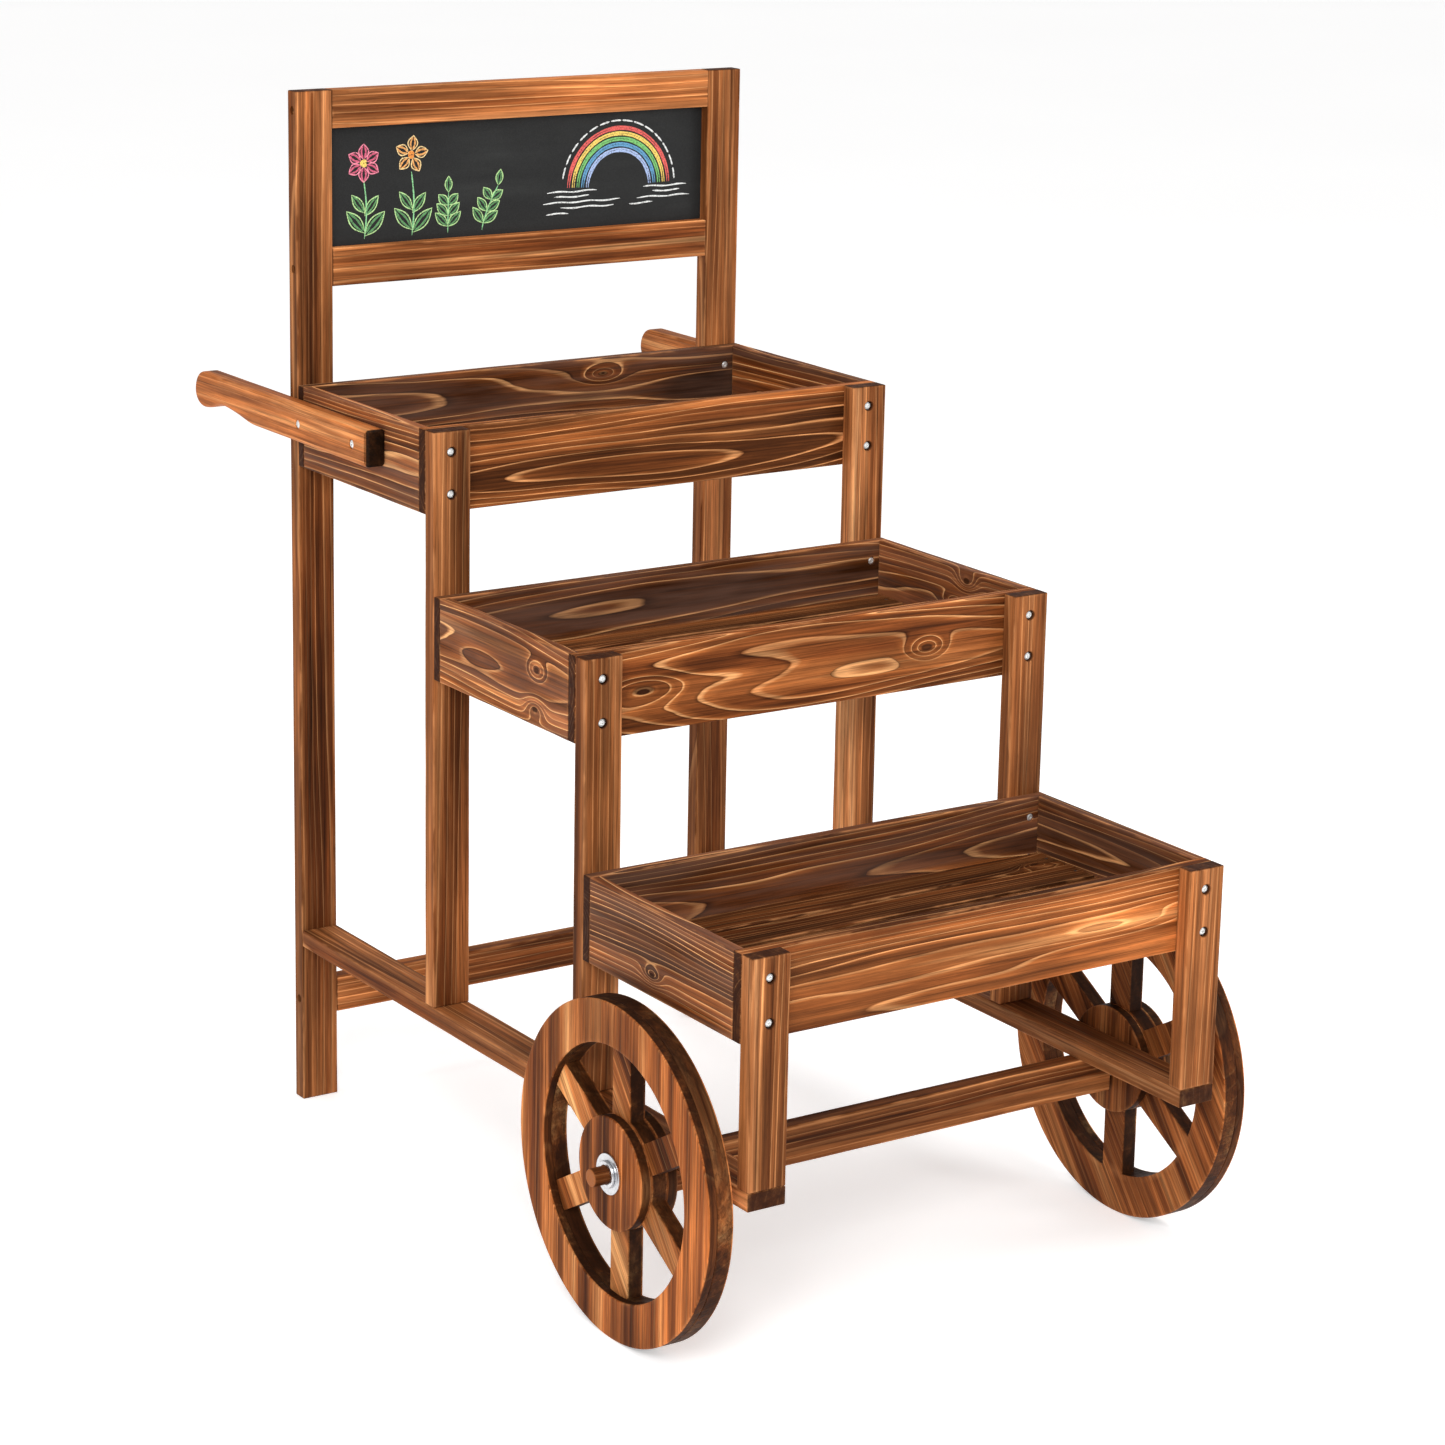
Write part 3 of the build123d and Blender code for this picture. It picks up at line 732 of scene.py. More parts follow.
# all in mm: bore is the radius of the hole for the head, sink is how far below the wood the head's top lies,
# and lip is how much wider the hole's mouth is
fasteners = {
    "front_post_screws": {"bore": 4.75, "sink": 2.5, "lip": 1.2},
    "back_board_screws": {"bore": 3.95, "sink": 0.3, "lip": 0.25},
    "handle_screws": {"bore": 4.75, "sink": 0.5, "lip": 0.25},
    "frame_screws": {"bore": 4.4, "sink": 12.0, "lip": 0.25},
    "rail_end_screws": {"bore": 4.5, "sink": 1.0, "lip": 0.25},
    "rail_post_screws": {"bore": 4.5, "sink": 1.0, "lip": 0.25},
    "beam_screws": {"bore": 4.5, "sink": 20.0, "lip": 0.25},
    "box_nails": {"bore": 1.95, "sink": 0.1, "lip": 0.05},
    "slat_nails": {"bore": 1.95, "sink": 0.1, "lip": 0.05},
    "panel_tacks": {"bore": 1.75, "sink": 0.1, "lip": 0.05},
}
nails = ("box_nails", "slat_nails", "panel_tacks")


def fastenerHeads():
    # for each fastener: the axis it lies along, which way its head looks, and where the head begins and ends
    found = []
    for name, fit in fasteners.items():
        for points in solidsOf(name):
            low, high = points.min(axis=0), points.max(axis=0)
            axis = int(np.argmax(high - low))
            centre = (low + high) / 2
            side = np.delete(points - centre, axis, axis=1)
            away = np.hypot(side[:, 0], side[:, 1])
            wide = points[away > 0.9 * away.max(), axis]
            sign = 1 if wide.mean() > centre[axis] else -1
            head = {key: value * mm for key, value in fit.items()}
            head.update(axis=axis, sign=sign, centre=centre)
            head["under"] = wide.min() if sign > 0 else wide.max()
            head["top"] = high[axis] if sign > 0 else low[axis]
            found.append(head)
    return found


heads = fastenerHeads()
print("fasteners found:", len(heads))


def holesIn(low, high):
    # for every head that lies in this board: two circles of the bore's radius, from under the head to just
    # below the face, and a wider one outside the face, so the mouth is slightly opened
    cutters = []
    for head in heads:
        axis, sign, bore, lip = (head[key] for key in ("axis", "sign", "bore", "lip"))
        face = (high if sign > 0 else low)[axis]
        inside = all(low[k] - 0.1 * mm < head["centre"][k] < high[k] + 0.1 * mm for k in range(3) if k != axis)
        depth = (face - head["top"]) * sign
        if inside and abs(depth - head["sink"]) < 0.3 * mm:
            places = [face + sign * 2 * mm, face - sign * (lip + 0.25 * mm), head["under"] - sign * 0.05 * mm]
            cutters.append(roundSurface(head["centre"], axis, places, [bore + lip + 2 * mm, bore, bore], 28))
    return cutters


planks = {
    "frame_wood": ["back_post_left", "back_post_right", "board_top_rail", "board_lower_rail",
                   "back_cross_rail", "side_rail_left", "side_rail_right", "axle_beam"],
    "box_wood": [],
    "floor_wood": [],
}
for tier in ("upper", "middle", "lower"):
    planks["frame_wood"] += [f"{tier}_front_post_{side}" for side in ("left", "right")]
    boxBoards = ("back_board", "front_board", "side_board_left", "side_board_right")
    planks["box_wood"] += [f"{tier}_{board}" for board in boxBoards]
    planks["floor_wood"] += [f"{tier}_floor_{kind}" for kind in ("cleats", "slats")]

# pith is where the log's centre lay, across and through the board, in mm; bright and clean change its finish;
# a swirl is its place along and across as shares of the board's half, its two half sizes and its height, in mm
plankLooks = {
    "frame_wood": {"pith": (70, 12), "bright": 1.0, "clean": 0.1},
    "box_wood": {"pith": (8, 34), "bright": 0.92, "clean": 0.0},
    # the slats' low brightness is painted shade inside the boxes
    "floor_wood": {"pith": (30, 30), "bright": 0.62, "clean": 0.0},
    "board_top_rail": {"bright": 1.12},
    "board_lower_rail": {"bright": 1.4},
    "upper_front_board": {
        "pith": (6, 46), "bright": 1.2, "clean": 0.42,
        "swirls": [(0.30, 0.10, 190, 17, 8), (-0.6, -0.5, 120, 14, -4)]},
    "middle_front_board": {
        "pith": (2, 38), "bright": 0.96, "clean": 0.22,
        "swirls": [(-0.72, -0.02, 44, 15, 16), (0.50, -0.02, 24, 12, 17), (-0.30, 0.05, 100, 16, 9)]},
    "lower_front_board": {
        "pith": (22, 42), "bright": 1.26, "clean": 0.48,
        "swirls": [(0.55, -0.1, 90, 10, 8), (-0.2, -0.4, 140, 20, 6)]},
    # the back boards' low brightness is painted shade inside the boxes
    "upper_back_board": {"bright": 0.74},
    "middle_back_board": {"bright": 0.8},
    "lower_back_board": {"bright": 0.8},
    "upper_side_board_left": {"pith": (10, 34), "bright": 0.9, "swirls": [(0.3, 0.2, 60, 14, 8)]},
    "middle_side_board_left": {
        "pith": (6, 36), "bright": 1.15,
        "swirls": [(-0.52, 0.30, 17, 10, 16), (-0.50, -0.62, 17, 10, 16), (0.35, 0.05, 62, 13, 9)]},
    "lower_side_board_left": {"pith": (52, 30), "bright": 1.15, "swirls": [(0.1, -0.5, 16, 8, 15.5)]},
}
mostKnots = {"frame_wood": 0, "box_wood": 2, "floor_wood": 2}  # where a board names no swirls of its own
noSwirl = (9, 9, 10, 10, 0)
seedGap = 1.7  # how far apart two boards lie in the pattern of the grain, in metres
seedTone = 0.37  # and in the pattern of the rings
grainSeeds, knotSeeds = 500, 900  # added to a board's seed


def grainOf(points, low, high, look, seed, order=None):
    # the board's own coordinates, measured from the pith: along, across and through
    if order is None:
        order = np.argsort(low - high)
    rng = np.random.default_rng(seed + grainSeeds)
    pith = np.array(look["pith"]) * mm * np.array([rng.choice([-1, 1]), rng.choice([-1, 1])])
    pith *= rng.uniform(0.75, 1.25, 2)
    return (points - (low + high) / 2)[:, order] + np.array([seedGap * seed, *pith])


def swirlsOf(points, low, high, swirls):
    # for each swirl: how far away each point is along and across, in the swirl's half sizes, and its height
    order = np.argsort(low - high)[:2]
    offset = (points - (low + high) / 2)[:, order]
    half = (high - low)[order] / 2
    columns = []
    for place in list(swirls) + [noSwirl] * (len(swirlNames) - len(swirls)):
        away = (offset - half * np.array(place[:2])) / (np.array(place[2:4]) * mm)
        columns.append(np.column_stack([away, np.full(len(points), place[4] * mm)]))
    return columns


def chanceSwirls(rng, most):
    # knots that grew where they liked
    ranges = ((-0.9, 0.9), (-0.8, 0.8), (14, 26), (8, 12), (15.5, 18))
    return [tuple(rng.uniform(*limits) for limits in ranges) for _ in range(rng.integers(0, most + 1))]


def edgeWear(gap, ease):
    return np.exp(-np.maximum(gap - 0.4 * ease, 0.0) / (0.9 * ease))


def boardWear(points, low, high, ease):
    # how near each point is to an edge, whether it is on an end, and whether it is down a hole or groove,
    # which takes painted shade
    gaps = np.abs(np.concatenate([points - low, high - points], axis=1))
    ordered = np.sort(gaps, axis=1)
    along = int(np.argmax(high - low))
    end = np.exp(-((np.minimum(gaps[:, along], gaps[:, along + 3]) / (0.6 * ease)) ** 2))
    # points this far inside every face lie down a hole or groove: painted shade goes there
    hole = np.clip((ordered[:, 0] - 0.7 * mm) / (0.5 * mm), 0.0, 1.0)
    return np.stack([edgeWear(ordered[:, 1], ease), end, hole], axis=1)


def markBoards(mesh, boxes, look, most, firstSeed):
    # every solid of the node is a board of its own
    points = vertexPlaces(mesh)
    grain, wear, tone, *swirls = (np.zeros_like(points) for _ in range(3 + len(swirlNames)))
    for seed, (low, high) in enumerate(boxes, firstSeed):
        mine = ((points > low - 0.2 * mm) & (points < high + 0.2 * mm)).all(axis=1)
        rng = np.random.default_rng(seed + knotSeeds)
        grain[mine] = grainOf(points[mine], low, high, look, seed)
        wear[mine] = boardWear(points[mine], low, high, boardShape["ease"])
        chosen = look.get("swirls", chanceSwirls(rng, most))
        for whole, part in zip(swirls, swirlsOf(points[mine], low, high, chosen)):
            whole[mine] = part
        bright = look["bright"] * rng.uniform(0.86, 1.14)
        tone[mine] = (bright, look["clean"] + rng.uniform(0.0, 0.15), seed * seedTone)
    markWood(mesh, grain, wear, tone, swirls)


panelLow, panelHigh = boxOf("chalkboard_panel")
panelShape = {**boardShape, "ease": 0.4 * mm, "waver": 0.05 * mm}
rebateShape = {**boardShape, "ease": 0.05 * mm, "waver": 0.0}
rebatePlay = 0.3 * mm
rebateRoom = np.array([rebatePlay, 4 * mm, rebatePlay])  # it is open to the back
rebate = boardSurface(panelLow - rebatePlay, panelHigh + rebateRoom, seed=3, shape=rebateShape)
rebated = ("back_post_left", "back_post_right", "board_top_rail", "board_lower_rail")

boardSeed = 10
boardCount = 0
for slotName, nodes in planks.items():
    for node in nodes:
        boxes = [(part.min(axis=0), part.max(axis=0)) for part in solidsOf(node)]
        firstSeed = boardSeed + boardCount
        surfaces = [boardSurface(low, high, seed) for seed, (low, high) in enumerate(boxes, firstSeed)]
        cutters = [hole for low, high in boxes for hole in holesIn(low, high)]
        if node in rebated:
            cutters.append(rebate)
        piece = pieceOf(f"{node}_wood", joinSurfaces(surfaces))
        cutAway(piece, cutters)
        look = {**plankLooks[slotName], **plankLooks.get(node, {})}
        markBoards(piece.data, boxes, look, mostKnots[slotName], firstSeed)
        dressPiece(piece, slotName, node)
        boardCount += len(boxes)
print("boards made:", boardCount)

handleShape = {
    "length": 390 * mm,
    "edge": 4.0 * mm,  # rounding of the long edges, and of the square end's corners
    "corner": 4.0 * mm,
    "knobRound": 20 * mm,
    "knobWidest": 17 * mm,
    "under": [(20, 0), (36, 2), (62, 8.5), (96, 6), (140, 0)],  # finger hollow, in from the end and up, in mm
    "flatEdge": 1.0 * mm,  # how much smaller the face over each flat side is
    "waver": 0.25 * mm,
    "sawnEnd": 3.4 * mm,  # the dark end grain reaches this far from the square end
    "unrubbed": 8 * mm,  # and its edges are not rubbed as far as this
    "held": 50 * mm,  # nor are those of the part that is held
    "seeds": {"left": 71, "right": 72},
}
handleLook = {"pith": (46, 40), "bright": 1.0, "clean": 0.35}


def bezier(points, count):
    t = np.linspace(0.0, 1.0, count)[:, None]
    a, b, c, d = (np.array(point) for point in points)
    return (1 - t) ** 3 * a + 3 * (1 - t) ** 2 * t * b + 3 * (1 - t) * t**2 * c + t**3 * d


def handleOutline(shape, height):
    # the side view, as (distance in from the knob's end, height above the underside), clockwise: two
    # quarters of an oval for the knob, a smooth curve through the hollow's points, then straight sides
    full, knob, wide, corner = (shape[key] for key in ("length", "knobRound", "knobWidest", "corner"))
    bend = 0.5523  # a curve with handles this long follows a quarter of a circle
    under = np.array(shape["under"]) * mm
    slopes = np.zeros(len(under))
    slopes[1:-1] = (under[2:, 1] - under[:-2, 1]) / (under[2:, 0] - under[:-2, 0])
    upper = [(knob, height), (knob * (1 - bend), height), (0, wide + (height - wide) * bend), (0, wide)]
    lower = [(0, wide), (0, wide * (1 - bend)), (under[0, 0] * (1 - bend), 0), under[0]]
    parts = [bezier(upper, 18)[:-1], bezier(lower, 14)[:-1]]
    for start, stop, leaving, arriving in zip(under, under[1:], slopes, slopes[1:]):
        third = (stop[0] - start[0]) / 3
        pulled = [start + third * np.array([1, leaving]), stop - third * np.array([1, arriving])]
        parts.append(bezier([start, *pulled, stop], 9)[:-1])
    straight = np.linspace(under[-1, 0], full - corner, 14)
    parts.append(np.stack([straight, np.zeros_like(straight)], axis=1)[:-1])
    quarter = np.linspace(0.0, quarterTurn, 7)
    lean, rise = corner * np.sin(quarter), corner * np.cos(quarter)
    parts.append(np.stack([full - corner + lean, corner - rise], axis=1))
    parts.append(np.stack([np.full(5, full), np.linspace(corner, height - corner, 7)[1:-1]], axis=1))
    parts.append(np.stack([full - corner + rise, height - corner + lean], axis=1))
    parts.append(np.stack([np.linspace(full - corner, knob, 26), np.full(26, height)], axis=1)[1:-1])
    return np.concatenate(parts)


def handleSurface(low, high, shape, seed):
    # every point of the outline moves in along its normal by edge - sqrt(edge^2 - (edge - depth)^2) as the
    # section nears either flat side, so the outline carried across the width has round edges all the way
    outline = handleOutline(shape, high[2] - low[2])
    run = np.roll(outline, -1, axis=0) - np.roll(outline, 1, axis=0)
    normal = np.stack([-run[:, 1], run[:, 0]], axis=1) / np.linalg.norm(run, axis=1)[:, None]
    normal *= -np.sign(np.sum(run[:, 0] * outline[:, 1] - run[:, 1] * outline[:, 0]))
    edge, width = shape["edge"], high[0] - low[0]
    near = edge * np.array([0.0, 0.0, 0.06, 0.2, 0.42, 0.7, 1.0])
    places = np.concatenate([near, [width / 2], width - near[::-1]])
    nearest = np.minimum(places, width - places)
    drawn = edge - np.sqrt(np.maximum(edge**2 - (edge - np.minimum(nearest, edge)) ** 2, 0.0))
    drawn[[0, -1]] += shape["flatEdge"]
    wave = slowWave(np.random.default_rng(seed), outline[:, 0], shape["length"], 1)[:, 0] * shape["waver"]
    flat = outline[None] + normal[None] * (drawn[:, None] + wave[None])[..., None]
    rows = np.zeros(flat.shape[:2] + (3,))
    rows[..., 0] = low[0] + places[:, None]
    rows[..., 1] = high[1] - flat[..., 0]
    rows[..., 2] = low[2] + flat[..., 1]
    return tube(rows)


def handleWear(points, low, high, shape):
    # rubbed edges in the middle, dark end grain on the square end, and painted shade down the screw holes
    edge = np.clip(boardWear(points, low, high, shape["edge"])[:, 0], 0.0, 0.8)
    edge *= (points[:, 1] < high[1] - shape["held"]) & (points[:, 1] > low[1] + shape["unrubbed"])
    end = np.clip((low[1] + shape["sawnEnd"] - points[:, 1]) / mm, 0.0, 1.0)
    deep = np.minimum(points[:, 0] - low[0], high[0] - points[:, 0]) > 0.8 * mm
    hole = np.zeros(len(points))
    # points inside a screw's bore get painted shade
    for head in heads:
        if head["axis"] == 0 and low[1] < head["centre"][1] < high[1]:
            away = np.hypot(*(points - head["centre"])[:, 1:].T)
            hole[(away < head["bore"] + 0.1 * mm) & deep] = 1.0
    return np.stack([edge, end, hole], axis=1)


for side, seed in handleShape["seeds"].items():
    node = f"handle_{side}"
    low, high = boxOf(node)
    piece = pieceOf(f"{node}_wood", handleSurface(low, high, handleShape, seed))
    cutAway(piece, holesIn(low, high))
    points = vertexPlaces(piece.data)
    grain = grainOf(points, low, high, handleLook, seed, [1, 2, 0])
    tone = np.tile([handleLook["bright"], handleLook["clean"], seed * seedTone], (len(points), 1))
    markWood(piece.data, grain, handleWear(points, low, high, handleShape), tone)
    dressPiece(piece, "handle_wood", node)
print("handles made")

wheelShape = {
    "ease": 1.2 * mm,
    "bevel": 1.0 * mm,  # rounding of the edges round the openings
    "spokes": 6,
    "spokeWidth": 30 * mm,
    "rim": 42 * mm,
    "bore": 9.08 * mm,
    "wander": 0.2 * mm,  # how far the face ring is out of round
    "inset": 2.2 * mm,  # rows of points this far inside an opening's edges hold the dark end grain
    "rimColumns": 180,
    "hubColumns": 96,
    "pithAside": (0.2, 0.3),  # metres from the wheel's centre to the log's, nearest and furthest
    "pithDepth": 0.03,
    "seeds": {"left": 81, "right": 86},
}
# how far the grain leans back from upright, in degrees, and how bright the piece is
wheelParts = {
    "spoked_panel": {"lean": 38.0, "bright": 1.02},
    "face_ring": {"lean": 0.0, "bright": 1.04},
    "outer_hub": {"lean": 0.0, "bright": 1.08},
    "inner_hub": {"lean": 0.0, "bright": 0.85},
}
# brightness at mid wheel, what the front and back gain, the inner side's share and what the outer side gains;
# the darker inner side is painted shade towards the cart
wheelTone = {"middle": 0.92, "ends": 0.62, "inside": 0.80, "outside": 0.26, "clean": 0.1}


def windowSurface(centre, lowX, highX, inner, outer, middle, shape):
    # one gap between two spokes: an arc along the hub, a spoke's straight side, an arc along the rim
    # and the next spoke's side, carried straight through the panel
    halfStep, half = math.pi / shape["spokes"], shape["spokeWidth"] / 2
    innerAngle, outerAngle = (halfStep - math.asin(half / radius) for radius in (inner, outer))
    hubArc = np.linspace(-innerAngle, innerAngle, 12)
    rimArc = np.linspace(outerAngle, -outerAngle, 36)
    angles = np.concatenate([hubArc, rimArc]) + middle
    reach = np.concatenate([np.full_like(hubArc, inner), np.full_like(rimArc, outer)])
    inset = shape["inset"]
    places = np.array([lowX - mm, lowX + inset, (lowX + highX) / 2, highX - inset, highX + mm])
    rows = np.zeros((len(places), len(angles), 3))
    rows[..., 0] = places[:, None]
    rows[..., 1] = centre[1] + reach * np.cos(angles)
    rows[..., 2] = centre[2] + reach * np.sin(angles)
    return tube(rows)


def wheelGrain(points, centre, lean, seed, shape):
    # the grain runs straight up when it has no lean, and leans towards the back otherwise; the pith lay
    # far to one side, so the rings are nearly straight
    angle = math.radians(lean)
    y, z = points[:, 1] - centre[1], points[:, 2] - centre[2]
    along = z * math.cos(angle) + y * math.sin(angle)
    across = y * math.cos(angle) - z * math.sin(angle)
    across += np.random.default_rng(seed).uniform(*shape["pithAside"])
    through = points[:, 0] - centre[0] + shape["pithDepth"]
    return np.stack([along + seedGap * seed, across, through], axis=1)


def wheelWear(points, centre, lowX, highX, radii, ease, seam, rimInner):
    # how near each point is to an edge between a flat face and a round one, and the round faces' end grain
    reach = np.hypot(points[:, 1] - centre[1], points[:, 2] - centre[2])
    fromFaces = [np.abs(points[:, 0] - x) for x in (lowX, highX)]
    fromRounds = [np.abs(reach - radius) for radius in radii]
    ordered = np.sort(np.stack(fromFaces + fromRounds, axis=1), axis=1)
    # the edges where the rim's two plies meet are not rubbed, and as dark as the round faces
    joint = (np.abs(points[:, 0] - seam) < 1.02 * ease) & (reach > rimInner - 0.1 * mm)
    joint &= np.min(fromRounds, axis=0) < 1.5 * ease
    edge = np.where(joint, 0.0, edgeWear(ordered[:, 1], ease))
    flat = (np.min(fromFaces, axis=0) < 1.02 * ease) & ~joint
    # the end grain is darkest at the top and the bottom
    lean = np.abs(points[:, 2] - centre[2]) / np.maximum(reach, mm)
    return np.stack([edge, np.where(flat, 0.0, 0.80 + 0.20 * lean), np.zeros(len(points))], axis=1)


def wheelBrightness(points, centre, width, outer, bright, look):
    # bright, times a bowl that is palest at the front and back, times a slope from the inner side out that
    # paints shade on the side towards the cart
    bowl = look["middle"] + look["ends"] * ((points[:, 1] - centre[1]) / outer) ** 2
    fromInside = (np.abs(points[:, 0]) - np.abs(points[:, 0]).min()) / width
    return bright * bowl * (look["inside"] + look["outside"] * fromInside)


for side, firstSeed in wheelShape["seeds"].items():
    ringLow, ringHigh = boxOf(f"wheel_{side}_face_ring")
    hubLow, hubHigh = boxOf(f"wheel_{side}_outer_hub")
    centre = (ringLow + ringHigh) / 2
    outer, hub = (ringHigh[1] - ringLow[1]) / 2, (hubHigh[1] - hubLow[1]) / 2
    rimInner = outer - wheelShape["rim"]
    seam = ringHigh[0] if side == "left" else ringLow[0]
    ease = wheelShape["ease"]
    for seed, (part, look) in enumerate(wheelParts.items(), firstSeed):
        node = f"wheel_{side}_{part}"
        low, high = boxOf(node)
        ofRim = part in ("spoked_panel", "face_ring")
        inner = rimInner if part == "face_ring" else wheelShape["bore"]
        reach = outer if ofRim else hub
        columns = wheelShape["rimColumns" if ofRim else "hubColumns"]
        wander = wheelShape["wander"] if part == "face_ring" else 0.0
        disc = discSurface(centre, low[0], high[0], inner, reach, ease, columns, wander, seed)
        piece = pieceOf(f"{node}_wood", disc)
        if part == "spoked_panel":
            middles = np.radians(360.0 / wheelShape["spokes"] * np.arange(wheelShape["spokes"]))
            cutAway(piece, [windowSurface(centre, low[0], high[0], hub, rimInner, middle, wheelShape)
                            for middle in middles])
            roundEdges(piece, wheelShape["bevel"])
            inner = rimInner  # the openings reach out to here
        points = vertexPlaces(piece.data)
        wear = wheelWear(points, centre, low[0], high[0], (inner, reach), ease, seam, rimInner)
        tone = np.tile([1.0, wheelTone["clean"], seed * seedTone], (len(points), 1))
        tone[:, 0] = wheelBrightness(points, centre, high[0] - low[0], outer, look["bright"], wheelTone)
        grain = wheelGrain(points, centre, look["lean"], seed, wheelShape)
        markWood(piece.data, grain, wear, tone)
        dressPiece(piece, "wheel_wood", node, f"{side}_wheel")
print("wheels made")

stubAxle = {
    "length": 65 * mm,  # from the shoulder to the sawn tip
    "tenon": 25 * mm,
    "radius": 9 * mm,
    "tenonRadius": 5 * mm,
    "uneven": 0.12 * mm,
    "soft": 1.6 * mm,  # rounding of the tip
    "sawnEnd": 0.7 * mm,  # the end grain reaches this far from the tip
    "pith": (0.006, 0.003),
    "bright": 0.75,
    "clean": 0.3,
    "seeds": {"left": 91, "right": 92},
}


def stubSurface(centre, tip, out, shape):
    # circles carried along the axle: a round tenon, a square shoulder, a dowel whose radius waves by a sine,
    # and a tip that closes in by soft - soft * cos(angle)
    radius, soft = shape["radius"], shape["soft"]
    shoulder = tip - out * shape["length"]
    root = shoulder - out * shape["tenon"]
    places = [root, root, shoulder, shoulder, shoulder + out * 0.5 * mm]
    tenonRadius = shape["tenonRadius"]
    radii = [tenonRadius * 0.6, tenonRadius, tenonRadius, radius - 0.4 * mm, radius]
    run = np.linspace(0.06, 0.93, 9)
    places += list(shoulder + out * shape["length"] * run)
    radii += list(radius - shape["uneven"] * (0.5 + 0.5 * np.sin(run * 19.0)))
    quarter = np.linspace(0.0, quarterTurn, 5)
    places += list(tip - out * soft * (1 - np.sin(quarter)))
    radii += list(radius - soft * (1 - np.cos(quarter)) - 0.1 * mm)
    places += [tip]
    radii += [radius * 0.55]
    return roundSurface(centre, 0, places, radii, 48)


for side, seed in stubAxle["seeds"].items():
    node = f"stub_axle_{side}"
    low, high = boxOf(node)
    centre = (low + high) / 2
    tip, out = (high[0], 1.0) if side == "right" else (low[0], -1.0)
    piece = pieceOf(f"{node}_wood", stubSurface(centre, tip, out, stubAxle))
    points = vertexPlaces(piece.data)
    wear = np.zeros_like(points)
    wear[:, 1] = np.clip(1.0 - np.abs(points[:, 0] - tip) / stubAxle["sawnEnd"], 0.0, 1.0) * 1.5
    tone = np.tile([stubAxle["bright"], stubAxle["clean"], seed * seedTone], (len(points), 1))
    grain = points - centre + np.array([seedGap * seed, *stubAxle["pith"]])
    markWood(piece.data, grain, wear, tone)
    dressPiece(piece, "axle_wood", node)

metalRings = {  # in mm
    "outer_washers": {"inner": 9.4, "ease": 0.45},
    "inner_washers": {"inner": 9.2, "ease": 0.35},
    "retaining_rings": {"inner": 9.05, "ease": 0.9},
}
for node, ring in metalRings.items():
    surfaces = []
    for points in solidsOf(node):
        low, high = points.min(axis=0), points.max(axis=0)
        inner, outer = ring["inner"] * mm, (high[1] - low[1]) / 2
        surfaces.append(discSurface((low + high) / 2, low[0], high[0], inner, outer, ring["ease"] * mm, 96))
    dressPiece(pieceOf(f"{node}_metal", joinSurfaces(surfaces)), "bright_steel", node)
print("axles and rings made")

panel = pieceOf("chalkboard_panel_board", boardSurface(panelLow, panelHigh, seed=5, shape=panelShape))
dressPiece(panel, "chalkboard", "chalkboard_panel")

chalk = {
    "rose": (240, 138, 160), "cream": (246, 212, 150), "leaf": (140, 206, 146), "paleLeaf": (182, 222, 150),
    "sun": (240, 206, 104), "orange": (234, 146, 66), "white": (228, 230, 228), "red": (226, 98, 92),
    "green": (122, 192, 112), "blue": (98, 156, 196), "lilac": (166, 186, 226),
    "roseDeep": (206, 92, 120), "creamDeep": (226, 160, 92), "leafDeep": (92, 146, 92),
}
# places on the board are X and Z, in metres
drawing = {
    "ground": 0.9405,
    "lift": 0.22 * mm,  # how far a stroke stands up from the board
    "sunk": 0.02 * mm,
    "outline": 1.3 * mm,  # the widths of the strokes
    "stem": 1.7 * mm,
    "thinStem": 1.4 * mm,
    "heart": 4.0 * mm,
    "dash": 1.9 * mm,
    "ripple": 1.7 * mm,
    "flowers": [
        {"place": (-0.189, 1.020), "count": 6, "petals": "rose", "heart": "sun", "turned": 0},
        {"place": (-0.132, 1.026), "count": 5, "petals": "cream", "heart": "orange", "turned": 8},
    ],
    "petal": {"from": 0.0040, "length": 0.0160, "width": 0.0058},
    "leaves": [(0.003, 44, 0.034), (0.006, -42, 0.032), (0.024, 38, 0.026), (0.027, -38, 0.025)],
    "sprigs": [(-0.088, 0.001, 0.043), (-0.046, 0.020, 0.047)],  # foot, how far it leans over, and height
    "rainbow": {
        "centre": (0.126, 0.977), "radius": 0.0640, "step": 0.0060, "width": 2.2 * mm, "dashes": 0.0722,
        "bands": ("red", "sun", "green", "blue", "lilac")},
    "ripples": [
        (0.035, 0.098, 0.9750), (0.044, 0.088, 0.9695), (0.030, 0.128, 0.9635), (0.052, 0.120, 0.9575),
        (0.034, 0.062, 0.9515), (0.158, 0.214, 0.9750), (0.170, 0.205, 0.9695), (0.150, 0.218, 0.9635),
        (0.140, 0.170, 0.9575)],
}


